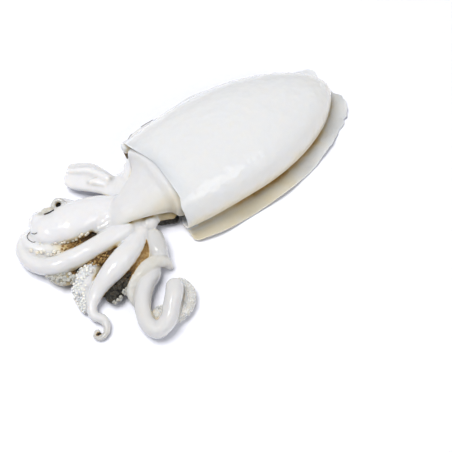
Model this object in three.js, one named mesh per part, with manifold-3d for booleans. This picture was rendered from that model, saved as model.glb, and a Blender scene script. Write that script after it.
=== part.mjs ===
// A cleaned whole cuttlefish, lying belly up on a table: the mantle with its fins is one solid,
// and the head with its funnel, arms and tentacle is another, tucked into the mantle's mouth.
// Units are millimetres, +Z is up, the table is z = 0 and the tail points along +X.
// Places are given in the animal's own table frame, where y = 0 is the mantle's axis, and the
// finished group is then moved so that its origin is under the middle of its box.
import * as THREE from "three";
import { mergeVertices } from "three/addons/utils/BufferGeometryUtils.js";
import Module from "manifold-3d";

const wasm = await Module();
wasm.setup();
const { clamp, degToRad, lerp, smoothstep } = THREE.MathUtils;

// Driving dimensions of the mantle
const MANTLE_WIDTH = 97;
const MANTLE_HEIGHT = 38;
const MOUTH_WIDTH = 87;
const MOUTH_HEIGHT = 35.5;
const MOUTH_X = 14.5;
const TAIL_X = 180.5;
const SHOULDER_Z = 12;
const TAIL_SHOULDER_Z = 9;
const BACK_SINK = 2;
const LIP_WALL = 4.5;
const RECESS_DEPTH = 24;

// The mouth is set back over the belly, reaches forward on the far side and lies a little aside
const BELLY_SETBACK = 3;
const BELLY_SPAN = [-36, -28];
const FAR_LIP_REACH = 6.3;
const FAR_LIP_SPAN = [2, 32];
const MOUTH_SHIFT = -2.4;

// How the mantle's plan, profile and back round off: where they start to fall, and how bluntly
const PLAN = { peak: 0.35, power: 2.07, root: 1.58 };
const PROFILE = { peak: 0.4, power: 2.45, root: 2 };
const BACK = { peak: 0.75, power: 2, root: 2 };
const SECTION_BULGE = 0.84;

// Driving dimensions of the fins. Each fin starts narrower at the mouth, widens to a lobe near the tail
// and is notched behind it. Spans are shares of the way from mouth to tail.
const FIN_REACH = 11.5;
const FIN_LOBE_SPREAD = 0.08;
const FIN_NOTCH_REACH = 4;
const NEAR_FIN = {
  hand: -1,
  front: { cut: 2.5, span: [0, 0.1] },
  start: [-0.03, 0.02],
  lobe: { reach: 14.5, at: 0.775 },
  notch: [0.91, 0.98],
  lift: 0,
};
const FAR_FIN = {
  hand: 1,
  front: { cut: 4, span: [0.15, 0.3] },
  start: [-0.03, 0.07],
  lobe: { reach: 16, at: 0.79 },
  notch: [0.81, 0.88],
  lift: 6.5,
};
const FIN_LIFT_SPAN = [0.08, 0.36];
const FIN_THICKNESS = 3;
const FIN_EDGE_THINNING = 0.5;
const FIN_ROOT_INSET = [4, 16];
const FIN_ROOT_SHARE = 0.8;
const FIN_WAVE = 1.2;
const FIN_WAVES = 4;

// Mesh fineness, and how far rings crowd together at rounded ends
const MANTLE_SIDES = 32;
const MANTLE_RINGS = 26;
const MANTLE_MOUTH_SHARE = 0.06;
const MANTLE_TAIL_CROWDING = 0.7;
const RECESS_RINGS = 12;
const RECESS_OUTSIDE = 0.07;
const RECESS_CROWDING = 1.5;
const RECESS_ROUNDING = 3;
const FIN_PLACES = 36;
const FIN_ACROSS = 3;
const ARM_SIDES = 10;
const ARM_STEP = 8;
const ARM_END_RINGS = 6;
const ARM_END_CROWDING = 0.6;
const FUNNEL_SIDES = 22;
const FUNNEL_RINGS = 14;
const LUMP_SIDES = 16;
const LUMP_RINGS = 12;
const SMALL_STEP = 0.004;
const SLIVER = 0.05;
const MERGE_DISTANCE = 1e-4;

// A sucker is a short stub, its radius a share of the arm's half width between least and most
const SUCKER_SHARE = 0.2;
const SUCKER_RADII = [1.1, 1.6];
const SUCKER_SIDES = 5;
const SUCKER_STALK = 0.8;
const SUCKER_SPACING = 2.8;
const SUCKER_CLEARANCE = 1.5;
const SUCKER_ROW_SPREAD = 34;

// The head is a few flattened balls, and one more rounds off the end of the widest arm
const LUMPS = [
  { centre: [-4, -2, 10], radii: [20, 26, 11] },
  { centre: [-20, -13, 9], radii: [22, 20, 9] },
  { centre: [3, 18, 11], radii: [7, 7, 7] },
  { centre: [-72.5, 18.5, 12], radii: [10, 10, 7.2] },
];

// The funnel is a soft cone of ovals: x, y, half width, z, height above that, and roundness of the top
const FUNNEL_DEPTH = 5;
const FUNNEL = [
  [25, -2.5, 26, 12, 12.5, 0.6],
  [18, -2.5, 30.5, 12, 17.2, 0.5],
  [10, -3.5, 26.5, 14, 15.5, 0.65],
  [3, -6.5, 21, 16.5, 12.3, 0.8],
  [-4.3, -8.3, 17.5, 18, 9.8, 0.95],
  [-12.7, -10, 14, 19.5, 7, 1],
  [-20.7, -11, 11, 19.8, 4.8, 1],
  [-27.7, -11.5, 8.5, 18, 4, 1],
  [-33.7, -12, 4, 15.5, 2.2, 1],
];

// Arms are swept along routes of hand-picked points, each x, y, z and the arm's width there.
// flat is thickness over width. Suckers stand on the face at so many degrees round the arm:
// 0 is its own left and 90 is up. The webs between the arms are swept in the same way.
const ARMS = {
  far_flap: {
    flat: 0.34,
    route: [[-10, 4, 13, 14], [-14, 14, 12, 16], [-17, 23, 10.5, 19], [-23, 33, 9, 22], [-31, 42, 7, 21],
      [-38, 48, 6.5, 17]],
  },
  far_flap_fold: {
    flat: 0.7,
    route: [[-9, 17, 12, 5], [-12.5, 27, 12, 7], [-18, 41, 10.5, 8], [-25, 47.5, 9, 8], [-33, 52, 8, 7]],
  },
  upper: {
    flat: 0.62,
    route: [[-8, -6, 14, 18], [-24, -3, 15, 23], [-36, 1.5, 15, 28], [-56, 5, 15, 32], [-70, 9, 13, 29],
      [-84.5, 15.5, 11.5, 24]],
    suckers: { face: -12, from: 0.42, to: 0.88, rows: 1 },
  },
  lower: {
    flat: 0.95,
    route: [[-17.5, -20, 10, 14], [-22.6, -21.2, 11, 17], [-29.2, -22, 11.6, 17.5], [-45.4, -22.2, 12, 16.5],
      [-64, -20.5, 11, 15], [-80.5, -17.5, 10, 14.5], [-88, -12.5, 8.5, 13], [-94, -4, 8, 12],
      [-95.5, 6, 7.5, 10.5], [-92, 14, 7, 9.5], [-85, 18, 6, 9], [-74, 17, 6, 7]],
  },
  hook: {
    flat: 0.9,
    route: [[-11, -26, 7, 13], [-20, -31, 9.5, 15], [-28, -36.8, 12, 16.5], [-41, -42.5, 14, 17.8],
      [-54, -46.5, 12, 16], [-67, -51, 8, 11.5], [-76, -57, 5.5, 8.5], [-78, -64, 4.5, 7.5],
      [-74.5, -70, 4, 7], [-75, -75.5, 3.5, 5.6], [-78.5, -80, 3, 4.2], [-83.2, -80.6, 2.6, 3.4],
      [-85.6, -77.4, 2.4, 3], [-82.8, -74.4, 2.4, 2.8]],
  },
  hook_neighbour: {
    flat: 0.75,
    route: [[-52, -27.5, 5, 10], [-60.5, -31.5, 5.5, 13], [-69.5, -37, 5.5, 15], [-75, -42, 5, 13.5],
      [-78.5, -50, 4.5, 10], [-80, -60, 4, 6]],
    suckers: { face: 110, from: 0.2, to: 0.95, rows: 2 },
  },
  under_lower: {
    flat: 0.8,
    route: [[-60, -24, 4, 8], [-70, -29, 4, 8], [-76.5, -30, 5.5, 9], [-82, -27, 6, 11], [-86, -21.5, 6, 9],
      [-88, -15, 6, 7]],
    suckers: { face: 65, from: 0.45, to: 0.98, rows: 2 },
  },
  under_hook: {
    flat: 0.7,
    route: [[-16, -28, 7, 11], [-33, -44, 6, 11], [-47, -52, 6, 11], [-56, -56, 6.5, 10], [-63, -57, 6, 8]],
    suckers: { face: 70, from: 0.65, to: 0.97, rows: 2 },
  },
  near_base: {
    flat: 0.8,
    route: [[-3, -16, 8, 14], [-6, -22, 9.5, 14.5], [-8.3, -27, 10, 14.5], [-9.6, -32, 9, 12.5]],
  },
  near: {
    flat: 0.8,
    route: [[-9, -30, 6, 11], [-10.8, -37, 8.5, 14.5], [-13.5, -46, 9, 14.5], [-15, -52, 7.5, 13],
      [-14, -58, 4.5, 9], [-12, -64, 2.5, 3]],
  },
  near_return: {
    flat: 0.7,
    route: [[-11.5, -62.5, 4.5, 4], [-15, -58, 8.5, 9], [-22, -55.5, 10.5, 10.5], [-31, -56, 10, 11],
      [-39, -57.5, 8, 11], [-45, -61.5, 6.5, 11], [-47.5, -68.5, 5.5, 9], [-48.5, -76, 5, 7],
      [-50, -83, 4.5, 5]],
  },
  tentacle: {
    flat: 1,
    route: [[-16, -34, 6, 11], [-24, -50, 5, 10], [-26, -60, 6, 11.5], [-36, -66, 7, 13], [-44, -74, 7, 12.5],
      [-49, -83, 7, 11.5], [-51, -93, 7, 12], [-48, -100, 7.5, 12.5], [-38, -98.5, 9, 12.5],
      [-31, -92, 11, 12.5], [-24, -85, 13, 13], [-18, -76, 12.5, 12]],
  },
  club: {
    flat: 0.55,
    route: [[-18, -76, 8, 8], [-15, -79, 6, 9], [-14, -85, 5, 11], [-17.5, -91, 5, 12], [-23.5, -95.5, 5, 12],
      [-30.5, -96, 4.5, 13], [-38, -91, 4, 14], [-43, -85, 4, 13]],
    suckers: { face: 85, from: 0.08, to: 0.4, rows: 3 },
  },
  curled_tip: {
    flat: 1,
    route: [[-50, 13, 15.5, 3.4], [-53.5, 17.5, 17, 3.4], [-52, 22, 19, 3.4], [-56.2, 25.2, 19, 3.6],
      [-60.2, 21.5, 18, 3.4], [-63.5, 21.2, 19.5, 4.8], [-66.8, 21.3, 19.8, 5.2], [-70.5, 22.2, 18.5, 4]],
  },
  curl_back: {
    flat: 0.9,
    route: [[-44, 13, 13, 9], [-49.5, 21, 13, 8.5], [-54.2, 25.6, 13, 8], [-59.5, 23.5, 13, 8],
      [-65, 17.5, 13, 8]],
  },
  upper_web: {
    flat: 0.8,
    route: [[-36, -9, 9, 10], [-43, -8, 8, 9], [-50, -9, 8, 9], [-62, -10, 7.5, 10], [-71, -7.5, 7.5, 13],
      [-79, -2, 8, 15], [-85.5, 4, 9, 14], [-87.5, 11, 10, 11], [-84, 18, 10, 8]],
    suckers: { face: 47, from: 0.5, to: 0.82, rows: 1 },
  },
  middle_web: {
    flat: 0.8,
    route: [[-36, -29, 9, 9], [-42, -29, 9, 10], [-52, -29, 8, 12], [-61, -28.5, 6.5, 10], [-66, -28, 5.5, 8],
      [-71, -31, 5, 7]],
  },
  lower_web: {
    flat: 0.5,
    route: [[-17, -38, 9, 9], [-25, -44, 9, 11], [-35, -50, 8, 13], [-45, -55, 7, 12], [-54, -59, 6, 9]],
  },
};

function flesh(name, colour) {
  return new THREE.MeshStandardMaterial({ name, color: colour, roughness: 0.35, metalness: 0 });
}

// Solids from three.js geometry, and meshes from solids
function solidOf(geometry) {
  const bare = geometry.clone();
  bare.deleteAttribute("normal");
  bare.deleteAttribute("uv");
  const merged = mergeVertices(bare, MERGE_DISTANCE);
  return new wasm.Manifold(
    new wasm.Mesh({
      numProp: 3,
      vertProperties: merged.attributes.position.array,
      triVerts: new Uint32Array(merged.index.array),
    }),
  );
}

function meshOf(solid, name, material) {
  const made = solid.getMesh();
  const geometry = new THREE.BufferGeometry()
    .setAttribute("position", new THREE.BufferAttribute(made.vertProperties, 3))
    .setIndex(new THREE.BufferAttribute(made.triVerts, 1));
  geometry.computeVertexNormals();
  const mesh = new THREE.Mesh(geometry, material);
  mesh.name = name;
  return mesh;
}

// Moves every vertex of a geometry to place(vertex), and none below the table
function mapped(geometry, place) {
  const position = geometry.attributes.position;
  const vertex = new THREE.Vector3();
  for (let i = 0; i < position.count; i++) {
    vertex.fromBufferAttribute(position, i);
    const moved = place(vertex);
    position.setXYZ(i, moved.x, moved.y, Math.max(moved.z, 0));
  }
  return geometry;
}

// A unit ball read as rings: t runs from pole to pole, and (side, up) is the place round the ring
function ringPlace(vertex) {
  const t = Math.acos(clamp(vertex.y, -1, 1)) / Math.PI;
  const radius = Math.hypot(vertex.x, vertex.z);
  if (radius < MERGE_DISTANCE) {
    return { t, side: 0, up: 0 };
  }
  return { t, side: vertex.x / radius, up: vertex.z / radius };
}

const easedBetween = (value, [low, high]) => smoothstep(value, low, high);
const bulge = (value, exponent) => Math.sign(value) * Math.pow(Math.abs(value), exponent);

// Mantle plan and profile as formulas of u, 0 at the mouth and 1 at the tail
const behind = (u, { peak, power, root }) =>
  Math.pow(1 - Math.pow(clamp((u - peak) / (1 - peak), 0, 1), power), 1 / root);
const ahead = (u, { peak }, least) => 1 - (1 - least) * Math.pow(clamp((peak - u) / peak, 0, 1), 2);
const halfWidth = (u) => (MANTLE_WIDTH / 2) * behind(u, PLAN) * ahead(u, PLAN, MOUTH_WIDTH / MANTLE_WIDTH);
const shoulder = (u) => lerp(SHOULDER_Z, TAIL_SHOULDER_Z, u * u);
const dome = MANTLE_HEIGHT - SHOULDER_Z;
const domeHeight = (u) => dome * behind(u, PROFILE) * ahead(u, PROFILE, (MOUTH_HEIGHT - SHOULDER_Z) / dome);
const backDepth = (u) => (shoulder(u) + BACK_SINK) * behind(u, BACK);
const middleLine = (u) => MOUTH_SHIFT * (1 - smoothstep(u, 0, PLAN.peak));
const lipX = (y) =>
  MOUTH_X + BELLY_SETBACK * easedBetween(y, BELLY_SPAN) - FAR_LIP_REACH * easedBetween(y, FAR_LIP_SPAN);
const alongAxis = (u, y) => lerp(lipX(y), TAIL_X, u);

// A point of the mantle's skin, set in by inset and drawn in to the middle: open 1 leaves it, 0 closes it
function mantlePoint(u, side, up, inset = 0, open = 1) {
  const inner = Math.max(0, u);
  const y = Math.max(0, halfWidth(inner) - inset) * bulge(side, SECTION_BULGE);
  const rise = up > 0 ? domeHeight(inner) : backDepth(inner);
  const z = shoulder(inner) + Math.max(0, rise - inset) * bulge(up, SECTION_BULGE);
  const height = lerp(shoulder(inner), Math.max(z, inset), open);
  return new THREE.Vector3(alongAxis(u, y), middleLine(inner) + y * open, height);
}

function mantleBody() {
  return solidOf(mapped(new THREE.SphereGeometry(1, MANTLE_SIDES, MANTLE_RINGS), (vertex) => {
    const { t, side, up } = ringPlace(vertex);
    const along = Math.max(0, (t - MANTLE_MOUTH_SHARE) / (1 - MANTLE_MOUTH_SHARE));
    const u = lerp(along, Math.sin((along * Math.PI) / 2), MANTLE_TAIL_CROWDING);
    return mantlePoint(u, side, up, 0, Math.min(1, t / MANTLE_MOUTH_SHARE));
  }));
}

// The recess starts as a plug in front of the mouth and closes in a round end inside the mantle
function mantleRecess() {
  const deepest = RECESS_DEPTH / (TAIL_X - MOUTH_X);
  return solidOf(mapped(new THREE.SphereGeometry(1, MANTLE_SIDES, RECESS_RINGS), (vertex) => {
    const { t, side, up } = ringPlace(vertex);
    const u = (deepest + RECESS_OUTSIDE) * Math.pow(t, RECESS_CROWDING) - RECESS_OUTSIDE;
    const open = t === 0 ? 0 : Math.sqrt(1 - Math.pow(t, RECESS_ROUNDING));
    return mantlePoint(u, side, up, LIP_WALL, open);
  }));
}

// One fin: a thin wavy ribbon along the mantle's outline, from the mouth's corner to the tail
function outlinePoint(s, hand) {
  const u = Math.sin((clamp(s, 0, 1) * Math.PI) / 2);
  const y = halfWidth(u);
  return new THREE.Vector2(alongAxis(u, hand * y), y + hand * middleLine(u));
}

function finReach(s, { front, start, lobe, notch }) {
  const swelling = Math.exp(-Math.pow((s - lobe.at) / FIN_LOBE_SPREAD, 2));
  const reach = lerp(FIN_REACH, lobe.reach, swelling) - front.cut * (1 - easedBetween(s, front.span));
  return lerp(reach * easedBetween(s, start), FIN_NOTCH_REACH, easedBetween(s, notch));
}

function fin(shape) {
  const { hand } = shape;
  return solidOf(mapped(new THREE.BoxGeometry(1, 1, 1, FIN_PLACES, FIN_ACROSS, 1), (vertex) => {
    const s = 0.5 + hand * vertex.x;
    const out = vertex.y + 0.5;
    const root = outlinePoint(s, hand);
    const onwards = outlinePoint(s + SMALL_STEP, hand).sub(outlinePoint(s - SMALL_STEP, hand)).normalize();
    const outward = new THREE.Vector2(-onwards.y, onwards.x);
    const inset = clamp(root.y * FIN_ROOT_SHARE, ...FIN_ROOT_INSET);
    const place = root.addScaledVector(outward, lerp(-inset, finReach(s, shape), out));
    const wave = FIN_WAVE * (1 + Math.sin(s * FIN_WAVES * 2 * Math.PI)) * out * out;
    const lift = wave + shape.lift * (1 - easedBetween(s, FIN_LIFT_SPAN)) * out;
    const thickness = FIN_THICKNESS * (1 - FIN_EDGE_THINNING * out);
    return new THREE.Vector3(place.x, hand * Math.max(-1, place.y), lift + (vertex.z + 0.5) * thickness);
  }));
}

// A list of equal rows of numbers, read on straight lines between its rows as t goes from 0 to 1
function rowAt(rows, t) {
  const place = t * (rows.length - 1);
  const k = Math.min(Math.floor(place), rows.length - 2);
  return rows[k].map((value, i) => lerp(value, rows[k + 1][i], place - k));
}

// The centre, left and up of an arm's route at t, with its half width there, round at both ends
function stationOf(arm, t) {
  const width = rowAt(arm.route, arm.curve.getUtoTmapping(t))[3];
  const fromEnd = Math.min(t, 1 - t) * arm.length;
  const roundEnd = Math.sqrt(1 - Math.pow(1 - Math.min(1, (2 * fromEnd) / width), 2));
  const onwards = arm.curve.getTangentAt(t);
  const left = new THREE.Vector3(0, 0, 1).cross(onwards).normalize();
  return {
    centre: arm.curve.getPointAt(t),
    left,
    up: onwards.clone().cross(left),
    half: (width / 2) * roundEnd,
  };
}

function withCurve(arm) {
  const curve = new THREE.CatmullRomCurve3(arm.route.map(([x, y, z]) => new THREE.Vector3(x, y, z)));
  return { ...arm, curve, length: curve.getLength() };
}

function sweep(arm) {
  const rings = Math.round(arm.length / ARM_STEP) + ARM_END_RINGS;
  return solidOf(mapped(new THREE.SphereGeometry(1, ARM_SIDES, rings), (vertex) => {
    const { t, side, up } = ringPlace(vertex);
    const station = stationOf(arm, lerp(t, (1 - Math.cos(t * Math.PI)) / 2, ARM_END_CROWDING));
    return station.centre
      .addScaledVector(station.left, side * station.half)
      .addScaledVector(station.up, up * station.half * arm.flat);
  }));
}

// Suckers: short stubs in staggered rows along one face of an arm
function suckersOf(arm) {
  const { face, from, to, rows } = arm.suckers;
  const made = [];
  for (let row = 0; row < rows; row++) {
    const angle = degToRad(face + (row - (rows - 1) / 2) * SUCKER_ROW_SPREAD);
    const side = Math.cos(angle);
    const up = Math.sin(angle);
    let walked = from * arm.length + (row % 2) * SUCKER_RADII[0] * SUCKER_SPACING / 2;
    while (walked < to * arm.length) {
      const station = stationOf(arm, walked / arm.length);
      const radius = clamp(station.half * SUCKER_SHARE, ...SUCKER_RADII);
      const place = station.centre.clone()
        .addScaledVector(station.left, side * station.half)
        .addScaledVector(station.up, up * station.half * arm.flat);
      const outward = station.left.clone().multiplyScalar(side * arm.flat)
        .addScaledVector(station.up, up).normalize();
      const stub = new THREE.CylinderGeometry(radius, radius * SUCKER_STALK, radius * 2, SUCKER_SIDES);
      stub.applyQuaternion(new THREE.Quaternion().setFromUnitVectors(new THREE.Vector3(0, 1, 0), outward));
      stub.translate(place.x, place.y, place.z);
      if (place.z > radius * SUCKER_CLEARANCE) {
        made.push(solidOf(stub));
      }
      walked += radius * SUCKER_SPACING;
    }
  }
  return made;
}

function lump({ centre, radii }) {
  return solidOf(mapped(new THREE.SphereGeometry(1, LUMP_SIDES, LUMP_RINGS), (vertex) =>
    vertex.clone().multiply(new THREE.Vector3(...radii)).add(new THREE.Vector3(...centre))));
}

function funnel() {
  return solidOf(mapped(new THREE.SphereGeometry(1, FUNNEL_SIDES, FUNNEL_RINGS), (vertex) => {
    const { t, side, up } = ringPlace(vertex);
    const [x, y, wide, z, tall, roundness] = rowAt(FUNNEL, t);
    const height = up > 0 ? tall : Math.min(tall, FUNNEL_DEPTH);
    return new THREE.Vector3(x, y - wide * side, z + height * bulge(up, roundness));
  }));
}

function mantleSolid() {
  return mantleBody().subtract(mantleRecess()).add(fin(FAR_FIN)).add(fin(NEAR_FIN));
}

// Joins solids into one body, clears away slivers and fills any small hollow that the joining seals
function fused(solids) {
  const bodies = wasm.Manifold.union(solids).simplify(SLIVER).decompose();
  return bodies.reduce((largest, body) => (body.volume() > largest.volume() ? body : largest));
}

function headSolid() {
  const arms = Object.values(ARMS).map(withCurve);
  const suckers = arms.filter((arm) => arm.suckers).flatMap(suckersOf);
  return fused([...LUMPS.map(lump), funnel(), ...arms.map(sweep), ...suckers]);
}

const part = new THREE.Group();
part.name = "cleaned_cuttlefish";
part.add(meshOf(mantleSolid(), "mantle", flesh("mantle_flesh", 0xecebe8)));
part.add(meshOf(headSolid(), "head_with_arms", flesh("head_flesh", 0xe9e6e0)));
const box = new THREE.Box3().setFromObject(part);
const centre = box.getCenter(new THREE.Vector3());
part.position.set(-centre.x, -centre.y, -box.min.z);

export default part;
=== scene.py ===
# %% [markdown]
# # A cleaned cuttlefish, belly up
# A cleaned cuttlefish is two pieces of soft white flesh: the mantle, a smooth pouch with a thin fin
# along each side, and the head, whose funnel and curling arms spill out of the mantle's mouth.
# The imported solids give the sizes and places. This lesson dresses them: it sweeps the same shapes
# again at a fine resolution, melts the arms into one skin, sets suckers, shreds of skin and painted shadow
# lines on it, and gives it wet flesh, with painted shade in its folds and gaps.

# %% Load the fixed frame
import bmesh
import bpy
import numpy as np
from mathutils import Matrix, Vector, noise
from mathutils.bvhtree import BVHTree


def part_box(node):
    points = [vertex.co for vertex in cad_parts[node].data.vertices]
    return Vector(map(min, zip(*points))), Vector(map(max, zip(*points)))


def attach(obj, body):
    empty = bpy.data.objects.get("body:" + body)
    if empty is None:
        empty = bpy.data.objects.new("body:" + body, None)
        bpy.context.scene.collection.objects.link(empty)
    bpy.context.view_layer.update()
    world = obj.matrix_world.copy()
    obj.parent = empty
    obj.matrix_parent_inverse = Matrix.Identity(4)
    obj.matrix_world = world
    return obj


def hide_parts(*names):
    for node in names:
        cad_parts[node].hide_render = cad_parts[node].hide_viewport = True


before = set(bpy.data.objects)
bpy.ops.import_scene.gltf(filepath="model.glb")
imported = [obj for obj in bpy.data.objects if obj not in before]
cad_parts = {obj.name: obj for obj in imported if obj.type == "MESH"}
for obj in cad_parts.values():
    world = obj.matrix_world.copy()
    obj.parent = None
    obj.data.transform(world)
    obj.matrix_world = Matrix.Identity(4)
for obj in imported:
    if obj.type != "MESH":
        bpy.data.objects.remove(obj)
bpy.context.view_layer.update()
print("nodes:", sorted(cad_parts))

# %% [markdown]
# The solids stand with their origin under the middle of the whole animal. Its parts are easier to
# think of in its own axes: x runs along the mantle towards the tail, y = 0 is the mantle's middle
# line, and lengths are in millimetres. The fins give both: their rear tip lies FIN_TIP_X behind the
# head, and the far fin reaches FAR_FIN_Y out from the middle line.

# %% The animal's own axes
MM = 0.001
FIN_TIP_X = 189.54
FAR_FIN_Y = 59.42
mantle_high = np.array(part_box("mantle")[1])
OWN_ORIGIN = np.array([mantle_high[0] - FIN_TIP_X * MM, mantle_high[1] - FAR_FIN_Y * MM, 0.0])


def in_frame(points):
    """Turns points from the animal's own axes, in millimetres, to the shared frame, in metres."""
    return np.asarray(points, float) * MM + OWN_ORIGIN


print("own origin in the frame, m:", OWN_ORIGIN.round(4))

# %% [markdown]
# The camera comes early, so that every later step can be looked at. A long lens, 60 degrees up and 35
# degrees round to the left, keeps the tail as large as the head. It aims beside the animal, because the
# picture has room on that side.

# %% Camera at the picture's angle
CAMERA_AZIMUTH = np.radians(-35.0)
CAMERA_ELEVATION = np.radians(60.0)
CAMERA_DISTANCE = 0.66
CAMERA_TARGET = in_frame([41.0, -55.5, 0.0])
CAMERA_LENS = 70.0
CAMERA_SENSOR = 36.0

camera_back = np.array([
    np.sin(CAMERA_AZIMUTH) * np.cos(CAMERA_ELEVATION),
    -np.cos(CAMERA_AZIMUTH) * np.cos(CAMERA_ELEVATION),
    np.sin(CAMERA_ELEVATION),
])
camera = bpy.data.objects.new("camera", bpy.data.cameras.new("camera"))
camera.data.lens = CAMERA_LENS
camera.data.sensor_width = CAMERA_SENSOR
camera.location = CAMERA_TARGET + camera_back * CAMERA_DISTANCE
camera.rotation_euler = Vector(camera_back).to_track_quat("Z", "Y").to_euler()
bpy.context.collection.objects.link(camera)
bpy.context.scene.camera = camera
print("camera at", [round(v, 3) for v in camera.location])

# %% [markdown]
# A mesh is a list of vertices and a list of faces that join them. Most shapes here are a skin over a
# stack of closed rings: each ring is joined to the next with four-sided faces, and the first and last
# rings are closed to a point. The mantle, the fins, the arms and the suckers are all such stacks, so one
# function makes their faces and another turns them into an object.


# %% Rings to skins
def skin(rings):
    """Vertices and faces of a stack of closed rings, an array of (rings, places round, 3)."""
    rings = np.asarray(rings, float)
    count, sides = rings.shape[:2]
    points = np.concatenate([rings.reshape(-1, 3), rings[:1].mean(1), rings[-1:].mean(1)])
    here = np.arange(sides)
    after = np.roll(here, -1)
    faces = []
    for k in range(count - 1):
        low, high = k * sides, (k + 1) * sides
        faces += np.stack([low + here, low + after, high + after, high + here], 1).tolist()
    first, last = count * sides, count * sides + 1
    top = (count - 1) * sides
    faces += np.stack([np.full(sides, first), after, here], 1).tolist()
    faces += np.stack([np.full(sides, last), top + here, top + after], 1).tolist()
    return points, faces


def new_piece(name, points, faces):
    """A smooth-shaded mesh object from vertices in the shared frame."""
    mesh = bpy.data.meshes.new(name)
    mesh.from_pydata(np.asarray(points).tolist(), [], faces)
    shell = bmesh.new()
    shell.from_mesh(mesh)
    bmesh.ops.recalc_face_normals(shell, faces=shell.faces)
    shell.to_mesh(mesh)
    shell.free()
    mesh.shade_smooth()
    piece = bpy.data.objects.new(name, mesh)
    bpy.context.collection.objects.link(piece)
    return piece


print("three rings of eight places make", len(skin(np.zeros((3, 8, 3)))[1]), "faces")

# %% [markdown]
# ## The mantle
# The mantle is a plump pouch: wide and blunt at its mouth, rounded at its tail, bulging over its own
# sides and flat where it lies on its back. It could be sculpted, but its outline and its side view are
# plain curves, so each is a short formula of u, which runs from 0 at the mouth to 1 at the tail.

# %% Outline and profile of the mantle
MANTLE_WIDTH = 97.0
MANTLE_HEIGHT = 38.0
MOUTH_WIDTH = 87.0
MOUTH_HEIGHT = 35.5
WIDEST_AT = 0.35
TALLEST_AT = 0.4
SHOULDER_Z = 12.0
TAIL_SHOULDER_Z = 9.0
BACK_SINK = 2.0
# How outline, side view and back fall off towards the tail: a power and a root.
PLAN_FALL = (2.07, 1.58)
PROFILE_FALL = (2.45, 2)
BACK_FALL = (2, 2)
BACK_FALLS_AT = 0.75


def behind(u, peak, power, root):
    """Falls from 1 at the peak to 0 at the tail."""
    return (1 - np.clip((u - peak) / (1 - peak), 0, 1) ** power) ** (1 / root)


def ahead(u, peak, least):
    """Falls from 1 at the peak to least at the mouth."""
    return 1 - (1 - least) * np.clip((peak - u) / peak, 0, 1) ** 2


def half_width(u):
    """Half the mantle's width."""
    narrowing = ahead(u, WIDEST_AT, MOUTH_WIDTH / MANTLE_WIDTH)
    return MANTLE_WIDTH / 2 * behind(u, WIDEST_AT, *PLAN_FALL) * narrowing


def shoulder(u):
    """The height at which the mantle is widest."""
    return SHOULDER_Z + (TAIL_SHOULDER_Z - SHOULDER_Z) * u * u


def dome_height(u):
    """How far the belly rises above the shoulder."""
    rise = MANTLE_HEIGHT - SHOULDER_Z
    lowering = ahead(u, TALLEST_AT, (MOUTH_HEIGHT - SHOULDER_Z) / rise)
    return rise * behind(u, TALLEST_AT, *PROFILE_FALL) * lowering


def back_depth(u):
    """How far the back would reach below the shoulder if the table didn't flatten it."""
    return (shoulder(u) + BACK_SINK) * behind(u, BACK_FALLS_AT, *BACK_FALL)


tallest = shoulder(TALLEST_AT) + dome_height(TALLEST_AT)
print("mantle is", round(2 * half_width(WIDEST_AT)), "mm wide and", round(tallest), "mm high")

# %% [markdown]
# The mouth isn't cut square. Its lip is set back over the belly and drawn out at the far side, and the
# whole mouth is pulled a little aside. So the lip has its own line across the mouth, and places along the
# mantle are counted from it. Most soft changes from one value to another are smoothsteps, which start and
# end level.

# %% Lip of the mouth
TAIL_X = 180.5
MOUTH_X = 14.5
MOUTH_SHIFT = -2.4
BELLY_SETBACK = 3.0
FAR_LIP_REACH = 6.3
# Where across the mouth its lip is set back over the belly, and where it is drawn out at the far side.
BELLY_SPAN = (-36, -28)
FAR_LIP_SPAN = (2, 32)


def smoothstep(low, high, value):
    """0 below low, 1 above high and an easy curve between."""
    t = np.clip((np.asarray(value, float) - low) / (high - low), 0, 1)
    return t * t * (3 - 2 * t)


def lip_x(y):
    """How far along the lip lies, at a place across the mouth."""
    setback = BELLY_SETBACK * smoothstep(*BELLY_SPAN, y)
    return MOUTH_X + setback - FAR_LIP_REACH * smoothstep(*FAR_LIP_SPAN, y)


def along_axis(u, y):
    """The x of a place u along the mantle and y across it."""
    return lip_x(y) + u * (TAIL_X - lip_x(y))


def middle_line(u):
    """The y of the mantle's middle, which is pulled aside at the mouth."""
    return MOUTH_SHIFT * (1 - smoothstep(0, WIDEST_AT, u))


print("mantle is", round(TAIL_X - MOUTH_X), "mm long")

# %% [markdown]
# The skin runs in rings from the tail forward to the mouth, rolls over the thin lip, and goes back
# inside as far as the eye can follow. Each ring is therefore given by four numbers: how far along it
# is, how far it is set in from the outer skin, how far the lip's roll pushes it forward, and how open it
# is, which falls from 1 towards 0 where the inside closes.

# %% Mantle skin
LIP_WALL = 0.8
INNER_WALL = 4.5
RECESS_DEPTH = 24.0
BULGE = 0.84
RING_PLACES = 200
# The angle by which the first ring stops short of the tail's tip, so that it isn't a single point.
TAIL_GAP = 0.004
OUTER_ANGLES = np.linspace(np.pi / 2 - TAIL_GAP, 0, 150)
LIP_ANGLES = np.linspace(0.3, np.pi, 9)
INNER_SHARES = np.linspace(0.05, 0.99, 20)


def bulge(value):
    """Makes a circle's sine or cosine a little squarer, for sides that bulge."""
    return np.sign(value) * np.abs(value) ** BULGE


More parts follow.
